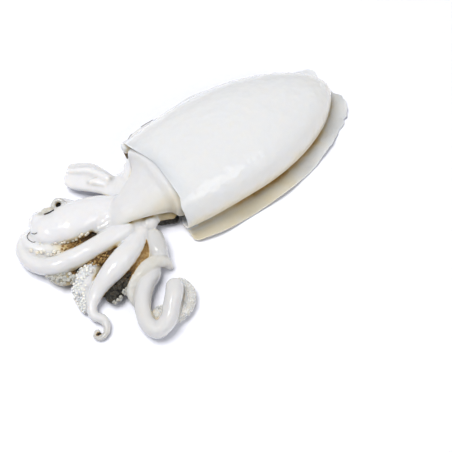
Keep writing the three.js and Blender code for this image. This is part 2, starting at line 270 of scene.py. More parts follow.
def mantle_rings():
    """Rings from the tail forward over the outside, round the lip and back inside."""
    round_places = np.linspace(0, 2 * np.pi, RING_PLACES, endpoint=False)
    side, up = np.cos(round_places), np.sin(round_places)
    outer = [(np.sin(a), 0.0, 0.0, 1.0) for a in OUTER_ANGLES]
    half_lip = LIP_WALL / 2
    lip = [(0.0, half_lip * (1 - np.cos(a)), half_lip * np.sin(a), 1.0) for a in LIP_ANGLES]
    deep = RECESS_DEPTH / (TAIL_X - MOUTH_X)
    thickening = INNER_WALL - LIP_WALL
    inner = [(deep * t, LIP_WALL + thickening * t, 0.0, np.sqrt(1 - t ** 3)) for t in INNER_SHARES]
    rings = []
    for u, inset, forward, opening in outer + lip + inner:
        y = np.maximum(half_width(u) - inset, 0.0) * bulge(side)
        rise = np.where(up > 0, dome_height(u), back_depth(u))
        z = shoulder(u) + np.maximum(rise - inset, 0.0) * bulge(up)
        z = np.maximum(z, inset)
        x = along_axis(u, y) - forward
        height = shoulder(u) + (z - shoulder(u)) * opening
        rings.append(np.stack([x, middle_line(u) + y * opening, height], 1))
    return np.array(rings)


mantle = new_piece("mantle_and_fins", *skin(in_frame(mantle_rings())))
print("mantle skin:", len(mantle.data.polygons), "faces")

# %% [markdown]
# ## The fins
# Each fin is a thin ribbon that grows out of the mantle's side and lies wavy on the table. A ribbon is
# a stack of flat rings too: one small loop round its thickness at each place s along the side, from 0 at
# the mouth to 1 at the tail. Its edge is ragged at the tail, where it was handled. A union then melts both
# ribbons into the mantle. The far fin has the hand 1 and the near fin the hand -1.

# %% How far the fins reach
FIN_REACH = 11.5
FIN_TAIL_REACH = {1: 16.0, -1: 14.5}
FIN_LOBE_AT = {1: 0.79, -1: 0.775}
FIN_LOBE_SPREAD = 0.08
FIN_FAR_FRONT = 7.5
FIN_FAR_FRONT_SPAN = (0.15, 0.3)
FIN_FAR_START = (-0.03, 0.07)
FIN_FRONT_CUT = 2.5
FIN_FRONT_CUT_SPAN = (0, 0.1)
FIN_NEAR_START = (-0.03, 0.02)
FIN_TEAR = 2.0
FIN_TEAR_AT = 0.74
FIN_TEAR_SPREAD = 0.012
FIN_TAIL_NOTCH = 4.0
FIN_NOTCH_FROM = {1: 0.81, -1: 0.91}
FIN_NOTCH_SPAN = 0.07
FIN_RAGGED_WAVES = [
    # depth, how close, where it starts
    (0.5, 47, 1), (0.35, 113, 2),
]
FIN_RAGGED_SPAN = (0.1, 0.9)


def bump_at(s, place, spread):
    """1 at the place, falling to 0 over the spread on both sides."""
    return np.exp(-((s - place) / spread) ** 2)


def fin_reach(s, hand):
    """How far the fin stands out from the mantle's side."""
    lobe = bump_at(s, FIN_LOBE_AT[hand], FIN_LOBE_SPREAD)
    reach = FIN_REACH + (FIN_TAIL_REACH[hand] - FIN_REACH) * lobe
    if hand > 0:
        reach = reach - (FIN_REACH - FIN_FAR_FRONT) * (1 - smoothstep(*FIN_FAR_FRONT_SPAN, s))
        reach = reach * smoothstep(*FIN_FAR_START, s)
    else:
        reach = reach - FIN_FRONT_CUT * (1 - smoothstep(*FIN_FRONT_CUT_SPAN, s))
        reach = reach * smoothstep(*FIN_NEAR_START, s)
        reach = reach - FIN_TEAR * bump_at(s, FIN_TEAR_AT, FIN_TEAR_SPREAD)
    notch_from = FIN_NOTCH_FROM[hand]
    reach = reach + (FIN_TAIL_NOTCH - reach) * smoothstep(notch_from, notch_from + FIN_NOTCH_SPAN, s)
    ragged = sum(depth * np.sin(s * close + start * hand) for depth, close, start in FIN_RAGGED_WAVES)
    return reach + ragged * smoothstep(*FIN_RAGGED_SPAN, s)


print("fins reach", fin_reach(0.5, 1).round(1), "and", fin_reach(0.5, -1).round(1), "mm at half their length")

# %% Ribbons of the fins
FIN_THICKNESS = 3.0
FIN_EDGE_THINNING = 0.55
FIN_ROOT_INSET = (4.0, 16.0)
FIN_ROOT_SHARE = 0.8
FIN_PAST_MIDDLE = 1.0
FIN_WAVE = 1.2
FIN_WAVES = 4
FIN_FAR_LIFT = 6.5
FIN_LIFT_SPAN = (0.08, 0.36)
FIN_PLACES = 260
FIN_ACROSS = 24
SMALL_STEP = 0.004


def outline(s, hand):
    """Where the mantle's side lies, as x and the distance from y = 0."""
    u = np.sin(np.clip(s, 0, 1) * np.pi / 2)
    y = half_width(u)
    return np.stack([along_axis(u, hand * y), y + hand * middle_line(u)], -1)


def fin_rings(hand):
    """Flat rings along one fin, each from its root inside the mantle out to its edge and back."""
    s = np.linspace(0.0, 1.0, FIN_PLACES)
    root = outline(s, hand)
    onwards = outline(s + SMALL_STEP, hand) - outline(s - SMALL_STEP, hand)
    onwards /= np.linalg.norm(onwards, axis=1)[:, None]
    outward = np.stack([-onwards[:, 1], onwards[:, 0]], 1)
    inset = np.clip(root[:, 1] * FIN_ROOT_SHARE, *FIN_ROOT_INSET)
    reach = fin_reach(s, hand)
    turn = np.linspace(0, 2 * np.pi, 2 * FIN_ACROSS, endpoint=False)
    out = (1 - np.cos(turn)) / 2
    face = np.sin(turn)
    rings = []
    for k in range(FIN_PLACES):
        across = -inset[k] + (reach[k] + inset[k]) * out
        place = root[k] + outward[k] * across[:, None]
        lift = FIN_WAVE * (1 + np.sin(s[k] * FIN_WAVES * 2 * np.pi)) * out ** 2
        if hand > 0:
            lift = lift + FIN_FAR_LIFT * (1 - smoothstep(*FIN_LIFT_SPAN, s[k])) * out
        half = FIN_THICKNESS * (1 - FIN_EDGE_THINNING * out) / 2
        z = lift + half + half * np.sign(face) * np.sqrt(np.abs(face))
        y = hand * np.maximum(place[:, 1], -FIN_PAST_MIDDLE)
        rings.append(np.stack([place[:, 0], y, z], 1))
    return np.array(rings)[::-hand]


print("a fin's ribbon has", len(fin_rings(1)), "rings")

# %% [markdown]
# In Blender a modifier changes a mesh without touching its data. Here its result is kept at once as the
# piece's own mesh. A boolean union with the manifold solver leaves one closed skin, as flesh has, and not
# a fin that passes through the mantle's wall.


# %% Melt the fins into the mantle
def apply_modifier(piece, kind, **settings):
    """Runs one modifier and keeps its result as the piece's own mesh."""
    modifier = piece.modifiers.new(kind.lower(), kind)
    for name, value in settings.items():
        setattr(modifier, name, value)
    evaluated = piece.evaluated_get(bpy.context.evaluated_depsgraph_get())
    result = bpy.data.meshes.new_from_object(evaluated)
    piece.modifiers.clear()
    old = piece.data
    piece.data = result
    bpy.data.meshes.remove(old)
    result.materials.clear()
    result.shade_smooth()


def add_union(piece, other):
    """Melts another closed piece into this one and removes the other."""
    apply_modifier(piece, "BOOLEAN", object=other, operation="UNION", solver="MANIFOLD")
    bpy.data.objects.remove(other)


for hand in (1, -1):
    add_union(mantle, new_piece("fin", *skin(in_frame(fin_rings(hand)))))
print("mantle with fins:", len(mantle.data.polygons), "faces")

# %% [markdown]
# The union leaves a sharp corner where fin meets mantle. On the animal that corner is a soft, deep
# crease. Averaging each vertex with its neighbours a few times rounds it, and a broad gentle noise
# takes the machine-made evenness out of the dome. All vertices are read into one array, changed together
# and written back, which is much faster than a loop over them.


# %% Read, move and average vertices
def vertices_of(piece):
    """The piece's vertices as an array."""
    flat = np.empty(len(piece.data.vertices) * 3)
    piece.data.vertices.foreach_get("co", flat)
    return flat.reshape(-1, 3)


def move_vertices(piece, points):
    """Puts the piece's vertices at the given places."""
    piece.data.vertices.foreach_set("co", np.asarray(points, float).ravel())
    piece.data.update()


def smoothed(piece, values, rounds, factor=0.5, weight=None):
    """Averages values over the piece's edges, more rounds for a wider blur."""
    edges = np.empty(len(piece.data.edges) * 2, int)
    piece.data.edges.foreach_get("vertices", edges)
    one, two = edges.reshape(-1, 2).T
    values = np.array(values, float)
    columns = values.reshape(len(values), -1)
    size = len(columns)
    share = np.maximum(np.bincount(one, minlength=size) + np.bincount(two, minlength=size), 1)
    pull = factor * (np.ones(size) if weight is None else weight)
    for _ in range(rounds):
        for k in range(columns.shape[1]):
            total = np.bincount(one, columns[two, k], size) + np.bincount(two, columns[one, k], size)
            columns[:, k] += pull * (total / share - columns[:, k])
    return columns.reshape(values.shape)


print("mantle has", len(vertices_of(mantle)), "vertices")

# %% Soften the mantle
CREASE_ROUNDS = 4
DOME_SWELL = 0.5 * MM
DOME_SWELL_SIZE = 45 * MM
DOME_SWELL_Z = (4 * MM, 20 * MM)
DOME_SEED = 3.0


def swell(points, size, seed):
    """A smooth random value between about -1 and 1 at each point, with bumps of the given size."""
    return np.array([noise.noise(Vector(point) / size + Vector((seed, seed, seed))) for point in points])


points = smoothed(mantle, vertices_of(mantle), CREASE_ROUNDS)
lifted = smoothstep(*DOME_SWELL_Z, points[:, 2])
points[:, 2] += DOME_SWELL * lifted * swell(points, DOME_SWELL_SIZE, DOME_SEED)
points[:, 2] = np.maximum(points[:, 2], 0.0)
move_vertices(mantle, points)
print("mantle box:", points.min(0).round(4), points.max(0).round(4))

# %% [markdown]
# ## Head, funnel and arms
# An arm is a tube swept along a bent route. Each waypoint gives x, y, z and the arm's width there. A
# flatness below 1 makes the tube a ribbon, and a bluntness above 2 makes its ends squarer than a ball.

# %% Routes of the arms
ARMS = {
    # name: flatness, bluntness, waypoints
    "far_flap": (0.34, 3, [
        (-10, 4, 13, 14), (-14, 14, 12, 16), (-17, 23, 10.5, 19), (-23, 33, 9, 22), (-31, 42, 7, 21),
        (-38, 48, 6.5, 17)]),
    "far_flap_fold": (0.70, 2, [
        (-9, 17, 12, 5), (-12.5, 27, 12, 7), (-18, 41, 10.5, 8), (-25, 47.5, 9, 8), (-33, 52, 8, 7)]),
    "far_flap_ridge": (0.80, 2, [
        (-34.5, 49.5, 9.5, 4), (-28, 44, 11.5, 5), (-21.4, 38.5, 13, 6), (-17.8, 32.6, 13.6, 6),
        (-11.7, 20.6, 14.2, 5)]),
    "far_flap_crease": (0.80, 2, [(-27, 29.5, 12, 4), (-22, 26.5, 13.2, 6), (-16, 18, 13.8, 5)]),
    "upper": (0.62, 2, [
        (-8, -6, 14, 18), (-24, -3, 15, 23), (-35.5, 2.2, 15, 26.5), (-55.4, 5.9, 15, 30.2),
        (-69.4, 9.8, 13, 27.4), (-84.5, 15.5, 11.5, 24)]),
    "base_fold": (0.90, 2, [
        (-46, -10.8, 14, 3.5), (-41.8, -11.3, 15, 5.5), (-34.5, -12.2, 15.7, 6), (-27, -13, 15, 5)]),
    "lower": (0.95, 2, [
        (-17.5, -20, 10, 14), (-22.6, -21.2, 11, 17), (-29.2, -22, 11.6, 17.5), (-45.4, -22.2, 12, 16.5),
        (-64, -20.5, 11, 15), (-71, -19, 10.5, 15), (-80.5, -17.5, 10, 14.5), (-88, -12.5, 8.5, 13),
        (-94, -4, 8, 12), (-95.5, 6, 7.5, 10.5), (-92, 14, 7, 9.5), (-85, 18, 6, 9), (-74, 17, 6, 7)]),
    "hook": (0.90, 2, [
        (-11, -26, 7, 13), (-20, -31, 9.5, 15), (-28, -36.8, 12, 16.5), (-41, -42.5, 14, 17.8),
        (-54, -46.5, 12, 16), (-67, -51, 8, 11.5), (-76, -57, 5.5, 8.5), (-78, -64, 4.5, 7.5),
        (-74.5, -70, 4, 7), (-75, -75.5, 3.5, 5.6), (-78.5, -80, 3, 4.2), (-83.2, -80.6, 2.6, 3.4),
        (-85.6, -77.4, 2.4, 3), (-82.8, -74.4, 2.4, 2.8), (-80.2, -76.2, 2.4, 2.4)]),
    "hook_neighbour": (0.75, 2, [
        (-52, -27.5, 5, 10), (-60.5, -31.5, 5.5, 13), (-69.5, -37, 5.5, 15), (-75, -42, 5, 13.5),
        (-78.5, -50, 4.5, 10), (-80, -60, 4, 6)]),
    "near_base": (0.80, 2, [
        (-3, -16, 8, 14), (-6, -22, 9.5, 14.5), (-8.3, -27, 10, 14.5), (-9.6, -32, 9, 12.5)]),
    "near": (0.80, 2, [
        (-9, -30, 6, 11), (-10.8, -37, 8.5, 14.5), (-13.5, -46, 9, 14.5), (-15, -52, 7.5, 13),
        (-14, -58, 4.5, 9), (-12, -64, 2.5, 3)]),
    "near_return": (0.70, 2, [
        (-11.5, -62.5, 4.5, 4), (-15, -58, 8.5, 9), (-22, -55.5, 10.5, 10.5), (-31, -56, 10, 11),
        (-39, -57.5, 8, 11), (-45, -61.5, 6.5, 11), (-47.5, -68.5, 5.5, 9), (-48.5, -76, 5, 7),
        (-50, -83, 4.5, 5)]),
    "tentacle": (1.00, 2, [
        (-16, -34, 6, 11), (-24, -50, 5, 10), (-26, -60, 6, 11.5), (-36, -66, 7, 13), (-44, -74, 7, 12.5),
        (-49, -83, 7, 11.5), (-51, -93, 7, 12), (-48, -100, 7.5, 12.5), (-38, -98.5, 9, 12.5),
        (-31, -92, 11, 12.5), (-24, -85, 13, 13), (-18, -76, 12.5, 12)]),
    "club": (0.55, 2, [
        (-18, -76, 8, 8), (-15, -79, 6, 9), (-14, -85, 5, 11), (-17.5, -91, 5, 12), (-23.5, -95.5, 5, 12),
        (-30.5, -96, 4.5, 13), (-38, -91, 4, 14), (-43, -85, 4, 13)]),
    "curled_tip": (1.00, 2, [
        (-50, 13, 15.5, 3.4), (-53.5, 17.5, 17, 3.4), (-52, 22, 19, 3.4), (-56.2, 25.2, 19, 3.6),
        (-60.2, 21.5, 17.4, 3.4), (-58.7, 18, 16.5, 3)]),
    "curl_back": (0.90, 2, [
        (-44, 13, 13, 9), (-49.5, 21, 13, 8.5), (-54.2, 25.6, 13, 8), (-59.5, 23.5, 13, 8),
        (-65, 17.5, 13, 8)]),
    "tip_fold": (0.65, 2, [
        (-61.4, 21.4, 18.8, 4), (-63.5, 21.2, 19.5, 4.8), (-66.8, 21.3, 19.6, 5.2), (-70.5, 22.2, 18.5, 4)]),
    "far_collar": (0.80, 2, [
        (17, 27, 13, 11), (9, 24, 13, 11), (3, 18, 12.5, 11), (-5, 10, 13, 13)]),
    "far_corner": (1.00, 4, [(22, 35.5, 18.5, 10), (14, 36.5, 18.5, 10), (8.5, 37.4, 17.5, 8.5)]),
}
print(len(ARMS), "arm routes")

# %% [markdown]
# Between the arms lie the thin webs and the mouth skin that join them. They are low and rough, and they
# keep an ochre stain. They are swept in the same way, and a fifth number at each waypoint is how strong
# the stain is there; its near-black values are partly dark skin and partly painted shade in deep gaps. The
# dark hollows inside the two curls and below the funnel are webs too: painted shade over partly dark skin.

# %% Routes of the webs
WEBS = {
    # name: flatness, waypoints
    # Near-black web ends lie in deep gaps: partly dark skin, partly painted shade.
    "upper_web": (0.8, [
        (-36, -9, 9, 10, 1.0), (-43, -8, 8, 9, 0.8), (-50, -9, 8, 9, 0.72), (-62, -10, 7.5, 10, 0.62),
        (-71, -7.5, 7.5, 13, 0.35), (-79, -2, 8, 15, 0.12), (-85.5, 4, 9, 14, 0.05),
        (-87.5, 11, 10, 11, 0.02), (-84, 18, 10, 8, 0.02)]),
    "middle_web": (0.8, [
        (-36, -29, 9, 9, 0.8), (-42, -29, 9, 10, 0.72), (-52, -29, 8, 12, 0.66), (-61, -28.5, 6.5, 10, 0.75),
        (-66, -28, 5.5, 8, 1.0), (-71, -31, 5, 7, 1.0)]),
    "lower_web": (0.5, [
        (-17, -38, 9, 9, 0.6), (-25, -44, 9, 11, 0.5), (-35, -50, 8, 13, 0.55), (-45, -55, 7, 12, 0.75),
        (-54, -59, 6, 9, 0.95)]),
    "under_lower": (0.8, [
        (-60, -24, 4, 8, 0.9), (-70, -29, 4, 8, 0.9), (-76.5, -30, 5.5, 9, 0.5), (-82, -27, 6, 11, 0.25),
        (-86, -21.5, 6, 9, 0.2), (-88, -15, 6, 7, 0.15)]),
    # Its darkest stains, and the grey it is given, are painted shade under the hooked arm.
    "under_hook": (0.7, [
        (-16, -28, 7, 11, 0.6), (-33, -44, 6, 11, 0.6), (-48, -54, 6, 13, 0.85), (-58, -58.5, 6, 12, 0.9),
        (-65.5, -60.5, 5.5, 9, 0.85)]),
    # Dark insides of the two curls: painted shade in their hollows, over partly dark skin.
    "curl_inside": (0.8, [
        (-53.2, 23.2, 14.5, 7.6, 1), (-54.8, 23.9, 14.5, 7.6, 1), (-56.4, 24.4, 14.5, 7.6, 1)]),
    "hook_curl_inside": (1.0, [
        (-81.2, -78.2, 2.3, 2.6, 1), (-82.6, -77.6, 2.4, 2.8, 1), (-84, -77, 2.3, 2.6, 1)]),
    "funnel_root": (0.8, [(-1, -22, 9, 8, 0.34), (6, -26, 9.5, 8, 0.34), (14, -30.5, 9.5, 7, 0.4)]),
    # A dark sheet under the funnel: painted shade over partly dark tissue.
    "mouth_shade": (0.7, [(-4, -22, 5, 10, 0.9), (5, -26, 4.5, 10, 0.9), (15, -32, 4, 8, 0.9)]),
}
print(len(WEBS), "web routes")

# %% [markdown]
# A smooth line through the waypoints is a Catmull-Rom curve. In its centripetal form the knots are
# spaced by the square root of the distance between waypoints, so the line doesn't loop at close ones.
# A ring set across that line at every step, and drawn in at both ends, is the arm's skin.

# %% Smooth lines
LINE_STEPS = 40
LEAST_STATIONS = 8


def smooth_line(route, step):
    """Points about one step apart on a centripetal Catmull-Rom curve, and how far along they are."""
    way = np.asarray(route, float)
    way = np.concatenate([2 * way[:1] - way[1:2], way, 2 * way[-1:] - way[-2:-1]])
    fine = []
    for k in range(1, len(way) - 2):
        p = way[k - 1:k + 3]
        knots = np.concatenate([[0], np.cumsum(np.linalg.norm(np.diff(p[:, :3], axis=0), axis=1) ** 0.5)])
        t = np.linspace(knots[1], knots[2], LINE_STEPS, endpoint=False)[:, None]
        row = [(p[i] * (knots[i + 1] - t) + p[i + 1] * (t - knots[i])) / (knots[i + 1] - knots[i])
               for i in range(3)]
        pair = [(row[i] * (knots[i + 2] - t) + row[i + 1] * (t - knots[i])) / (knots[i + 2] - knots[i])
                for i in range(2)]
        fine.append((pair[0] * (knots[2] - t) + pair[1] * (t - knots[1])) / (knots[2] - knots[1]))
    fine = np.concatenate(fine + [way[-2:-1]])
    walked = np.concatenate([[0], np.cumsum(np.linalg.norm(np.diff(fine[:, :3], axis=0), axis=1))])
    stations = np.linspace(0, walked[-1], max(int(walked[-1] / step), LEAST_STATIONS) + 1)
    return np.stack([np.interp(stations, walked, fine[:, i]) for i in range(fine.shape[1])], 1), stations


print("hooked arm is", round(smooth_line(ARMS["hook"][2], 1.0)[1][-1]), "mm long")

# %% Rings along an arm
# The bluntness of an end that is as round as a ball.
ROUND_END = 2
# Keeps the first and last rings of an arm from shrinking to nothing.
END_POINT = 0.0004


def stations_of(route, flat, blunt, step):
    """Centres, left and up directions, half widths and half heights along an arm."""
    line, walked = smooth_line(route, step)
    centres, width = line[:, :3], line[:, 3]
    onward = np.gradient(centres, axis=0)
    onward /= np.linalg.norm(onward, axis=1)[:, None]
    left = np.cross([0, 0, 1], onward)
    left /= np.linalg.norm(left, axis=1)[:, None]
    up = np.cross(onward, left)
    to_end = np.minimum(walked, walked[-1] - walked)
    near_end = np.clip(to_end / (width / 2), 0, 1)
    half = width / 2 * np.maximum(1 - (1 - near_end) ** blunt, END_POINT) ** (1 / blunt)
    return centres, left, up, half, half * flat


def sweep(flat, blunt, route, step=1.0, sides=40):
    """The skin of one arm."""
    centres, left, up, half, tall = stations_of(route, flat, blunt, step)
    turn = np.linspace(0, 2 * np.pi, sides, endpoint=False)
    rings = (centres[:, None]
             + left[:, None] * (half[:, None] * np.cos(turn))[..., None]
             + up[:, None] * (tall[:, None] * np.sin(turn))[..., None])
    return skin(rings)


print("hooked arm has", len(sweep(*ARMS["hook"])[1]), "faces")

# %% [markdown]
# The head and the crown from which the arms spring aren't tubes. They are egg-shaped lumps, and a third
# lump fills out the end of the widest arm. All these skins go into one mesh, to be melted together.

# %% Arms, webs and lumps
# The angle by which a lump's first and last rings stop short of its poles.
POLE_GAP = 0.02
LUMPS = {
    # name: centre, radii
    "head": ((-4, -2, 9), (20, 27, 9)),
    "crown": ((-20, -13, 8), (22, 20, 9)),
    "upper_end": ((-72.5, 18.5, 12), (10, 10, 7.2)),
}


def ball(centre, radii, rows=40, sides=60):
    """The skin of an egg-shaped lump."""
    turn = np.linspace(0, 2 * np.pi, sides, endpoint=False)
    rise = np.linspace(-np.pi / 2 + POLE_GAP, np.pi / 2 - POLE_GAP, rows)[:, None]
    rings = np.stack([np.cos(rise) * np.cos(turn), np.cos(rise) * np.sin(turn), np.sin(rise) + 0 * turn], -1)
    return skin(np.array(centre) + rings * np.array(radii))


def joined(parts):
    """Several (vertices, faces) as one."""
    points, faces = [], []
    offset = 0
    for part_points, part_faces in parts:
        points.append(part_points)
        faces += [[i + offset for i in face] for face in part_faces]
        offset += len(part_points)
    return np.concatenate(points), faces


arm_skins = [sweep(*arm) for arm in ARMS.values()]
arm_skins += [sweep(flat, ROUND_END, route) for flat, route in WEBS.values()]
arm_skins += [ball(*lump) for lump in LUMPS.values()]
points, faces = joined(arm_skins)
head = new_piece("head_and_arms", in_frame(points), faces)
print(len(arm_skins), "tubes and lumps with", len(faces), "faces")

# %% [markdown]
# The tubes still pass through each other. A voxel remesh melts them into one closed skin, which is what
# flesh is, and which lets light scatter through it as one body. It leaves small steps, so the skin is
# smoothed by turns inwards and outwards, which keeps its size.

# %% Melt the tubes into one skin
VOXEL = 0.75 * MM
MELT_ROUNDS = 8
PULL_IN = 0.6
PUSH_OUT = -0.62
LAST_ROUNDS = 2

apply_modifier(head, "REMESH", mode="VOXEL", voxel_size=VOXEL, use_smooth_shade=True)
points = vertices_of(head)
for _ in range(MELT_ROUNDS):
    points = smoothed(head, points, 1, PULL_IN)
    points = smoothed(head, points, 1, PUSH_OUT)
points = smoothed(head, points, LAST_ROUNDS)
move_vertices(head, points)
print("head skin:", len(head.data.polygons), "faces")

# %% [markdown]
# The funnel is a soft cone. At the mantle's mouth it fills the mouth from lip to lip, and it narrows in
# a hollow curve to a loose flap that lies on the arms. It is a stack of ovals, bent at the mouth to
# follow the lip. It joins the arms by a union and not in the remesh, so that the flap keeps its thin
# edge. Only its tip is then smoothed into the arm below it.

# %% Funnel
FUNNEL = [
    # x, y, half width, z, height above it, how round the top is
    (26, -2, 33, 12, 19, 0.6),
    (18, -2.4, 34, 15, 19.4, 0.4),
    (10, -3.5, 26.5, 15.5, 15.5, 0.7),
    (3, -6.5, 21, 17, 12, 0.8),
    (-4.3, -8.3, 17.5, 18.5, 9.5, 0.95),
    (-12.7, -10, 14, 20, 6.5, 1.0),
    (-20.7, -11, 11, 20.3, 4.3, 1.0),
    (-27.7, -11.5, 8.5, 18.6, 3.4, 1.0),
    (-33.7, -12, 4, 15.5, 2, 1.0),
]
FUNNEL_DEPTH = 4.0
FUNNEL_GAP = 0.05
FUNNEL_STEP = 0.9
LIP_X = MOUTH_X + BELLY_SETBACK
LIP_BAND = 0.5 * LIP_X


def mouth_arch(y):
    """The height of the mouth's inner wall above a place across it, less a small gap."""
    inset = LIP_WALL + FUNNEL_GAP
    share = np.clip(np.abs(y - MOUTH_SHIFT) / (half_width(0) - inset), 0, 1)
    return SHOULDER_Z + (dome_height(0) - inset) * (1 - share ** (2 / BULGE)) ** (BULGE / 2)


def funnel_skin(sides=90):
    """The skin of the funnel. Its top follows the mouth's arch near the lip."""
    line, _ = smooth_line(FUNNEL, FUNNEL_STEP)
    turn = np.linspace(0, 2 * np.pi, sides, endpoint=False)
    rings = []
    for x, y, wide, z, tall, roundness in line:
        across = y + wide * np.cos(turn)
        in_mouth = smoothstep(LIP_X - LIP_BAND, LIP_X, x) * (1 - smoothstep(LIP_X, LIP_X + LIP_BAND, x))
        top = tall + (mouth_arch(across) - z - tall) * in_mouth
        rise = np.abs(np.sin(turn)) ** roundness
        height = np.where(np.sin(turn) > 0, top * rise, -min(tall, FUNNEL_DEPTH) * rise)
        follow = (lip_x(across) - LIP_X) * smoothstep(0, LIP_X, x)
        rings.append(np.stack([x + follow, across, z + height], 1))
    return skin(rings)


points, faces = funnel_skin()
funnel_points = in_frame(points)
add_union(head, new_piece("funnel", funnel_points, faces))
print("head with funnel:", len(head.data.polygons), "faces")

# %% Settle the funnel's tip
FUNNEL_TIP = (-31, -6, 20)
FUNNEL_TIP_SPAN = (5.4, 13.5)
FUNNEL_TIP_ROUNDS = 120
SAME_PLACE = 0.2 * MM
LOWEST_FLESH = 0.1 * MM

funnel_tree = BVHTree.FromPolygons(funnel_points.tolist(), faces)
points = vertices_of(head)
on_funnel = np.array([funnel_tree.find_nearest(point)[3] < SAME_PLACE for point in points.tolist()])
to_tip = np.linalg.norm(points - in_frame(FUNNEL_TIP), axis=1) / MM
near_tip = 1 - smoothstep(*FUNNEL_TIP_SPAN, to_tip)
points = smoothed(head, points, FUNNEL_TIP_ROUNDS, weight=near_tip)
points[:, 2] = np.maximum(points[:, 2], LOWEST_FLESH)
move_vertices(head, points)
print("points on the funnel:", int(on_funnel.sum()))

# %% [markdown]
# Each point of the head takes its stain, its painted grey and its roughness from the arm or web whose
# middle line is nearest. Thin arms and a few watery ones are painted greyer, as if the table showed
# through: a painted see-through. Parts that lie in shade are painted greyer too, and the darkest web stains
# are partly painted shade. All three could be painted by hand, but then each change to an arm would mean
# painting again.

# %% Traits of the nearest arm or web
# Painted grey: see-through on thin and watery arms; painted shade on under_lower, under_hook and funnel_root,
# and a little on hook and lower.
SEE_THROUGH_AND_SHADE_GREYS = {
    "near": 0.6, "near_base": 0.4, "near_return": 0.55, "tentacle": 0.36, "club": 0.12, "hook": 0.15,
    "lower": 0.15, "under_lower": 1.0, "under_hook": 1.0, "funnel_root": 0.9,
}
STAINED_ARMS = {"tip_fold": 0.16, "near_return": 0.12, "club": 0.13}
ROUGH_ARMS = {"hook_neighbour": 0.9, "tip_fold": 0.6, "near_return": 0.6}
ROUGH_WEB_STAINS = (0.2, 0.6)
THIN_ARM = (1.5, 5.0)
STATION_STEP = 1.5


def nearest_station(points):
    """Stains, painted shade, painted grey and roughness per point, from the arm or web whose middle line is
    nearest.
    """
    centres, reaches, traits = [], [], []
    for name, (*_, route) in (ARMS | WEBS).items():
        line, _ = smooth_line(route, STATION_STEP)
        half = line[:, 3] / 2
        see_through_and_shade_share = np.full(len(line), SEE_THROUGH_AND_SHADE_GREYS.get(name, 0.0))
        if name in WEBS:
            stain_and_shade = line[:, 4]
            rough = smoothstep(*ROUGH_WEB_STAINS, stain_and_shade)
        else:
            stain_and_shade = np.full(len(line), STAINED_ARMS.get(name, 0.0))
            rough = np.full(len(line), ROUGH_ARMS.get(name, 0.0))
            see_through_and_shade_share = np.maximum(1 - smoothstep(*THIN_ARM, half), see_through_and_shade_share)
        centres.append(line[:, :3])
        reaches.append(half)
        traits.append(np.stack([stain_and_shade, see_through_and_shade_share, rough], 1))
    centres = in_frame(np.concatenate(centres))
    reach = np.concatenate(reaches) * MM
    found = [np.argmin(((centres - point) ** 2).sum(1) / reach ** 2) for point in points]
    return np.concatenate(traits)[found].T


web_stain_and_shade, see_through_and_shade_share, rough = nearest_station(vertices_of(head)) * ~on_funnel
print("stained points:", int((web_stain_and_shade > 0.3).sum()), "of", len(web_stain_and_shade))

# %% [markdown]
# The webs are rough with folds too fine to sweep, so their points are pushed in and out by a noise, and
# so, more gently, are those of the funnel's wrinkled tip. A bump in the material would be less work, but
# it wouldn't show at the edges.

# %% Folds of the webs
WEB_FOLD = 0.55 * MM
WEB_FOLD_SIZE = 2.4 * MM
WEB_FOLD_SEED = 5.0
WEB_FOLD_BLUR = 2
TIP_WRINKLE = 0.45


def normals_of(piece):
    """The piece's vertex normals as an array."""
    flat = np.empty(len(piece.data.vertices) * 3)
    piece.data.vertices.foreach_get("normal", flat)
    return flat.reshape(-1, 3)


points = vertices_of(head)
creased = smoothed(head, np.maximum(rough, TIP_WRINKLE * near_tip), WEB_FOLD_BLUR)
fold = WEB_FOLD * creased * swell(points, WEB_FOLD_SIZE, WEB_FOLD_SEED)
points += normals_of(head) * fold[:, None]
points[:, 2] = np.maximum(points[:, 2], LOWEST_FLESH)
move_vertices(head, points)
print("folds are up to", (np.abs(fold).max() / MM).round(2), "mm deep")

# %% [markdown]
# ## Suckers
# Suckers stand in staggered rows on one side of an arm. From a step away each is a pale bead with a
# small dimple. They are many, so they are one joined mesh, and each is a small stack of rings. Real
# suckers are never quite in line or alike, so their places, angles and sizes scatter a little.

# %% Rows of suckers
SUCKER_ROWS = [
    # arm, angle round it (0 is its own left, 90 is up), shares of its length where the rows start and
    # stop, number of rows, sucker radius in millimetres, stain and painted shade
    ("upper", 0, 0.52, 0.93, 1, 1.2, 0.20),
    ("upper_web", 47, 0.50, 0.82, 1, 1.45, 0.20),
    ("upper_web", 75, 0.30, 0.52, 3, 0.85, 0.54),
    ("middle_web", 75, 0.25, 0.75, 4, 0.9, 0.50),
    ("hook_neighbour", 130, 0.05, 0.97, 5, 1.1, 0.02),
    ("under_lower", 65, 0.45, 0.98, 4, 1.45, 0.10),
    # The dark beads under the hook, and the grey they are given, are painted shade.
    ("under_hook", 70, 0.60, 0.97, 2, 1.8, 0.80),
    ("under_hook", 20, 0.64, 0.97, 2, 1.5, 0.16),
    ("club", 85, 0.05, 0.98, 8, 0.62, 0.10),
]
ROW_SPREAD = np.radians(26)
SUCKER_SPACING = 1.9
PLACE_SCATTER = 0.25
ANGLE_SCATTER = 0.15
WALK = 0.5


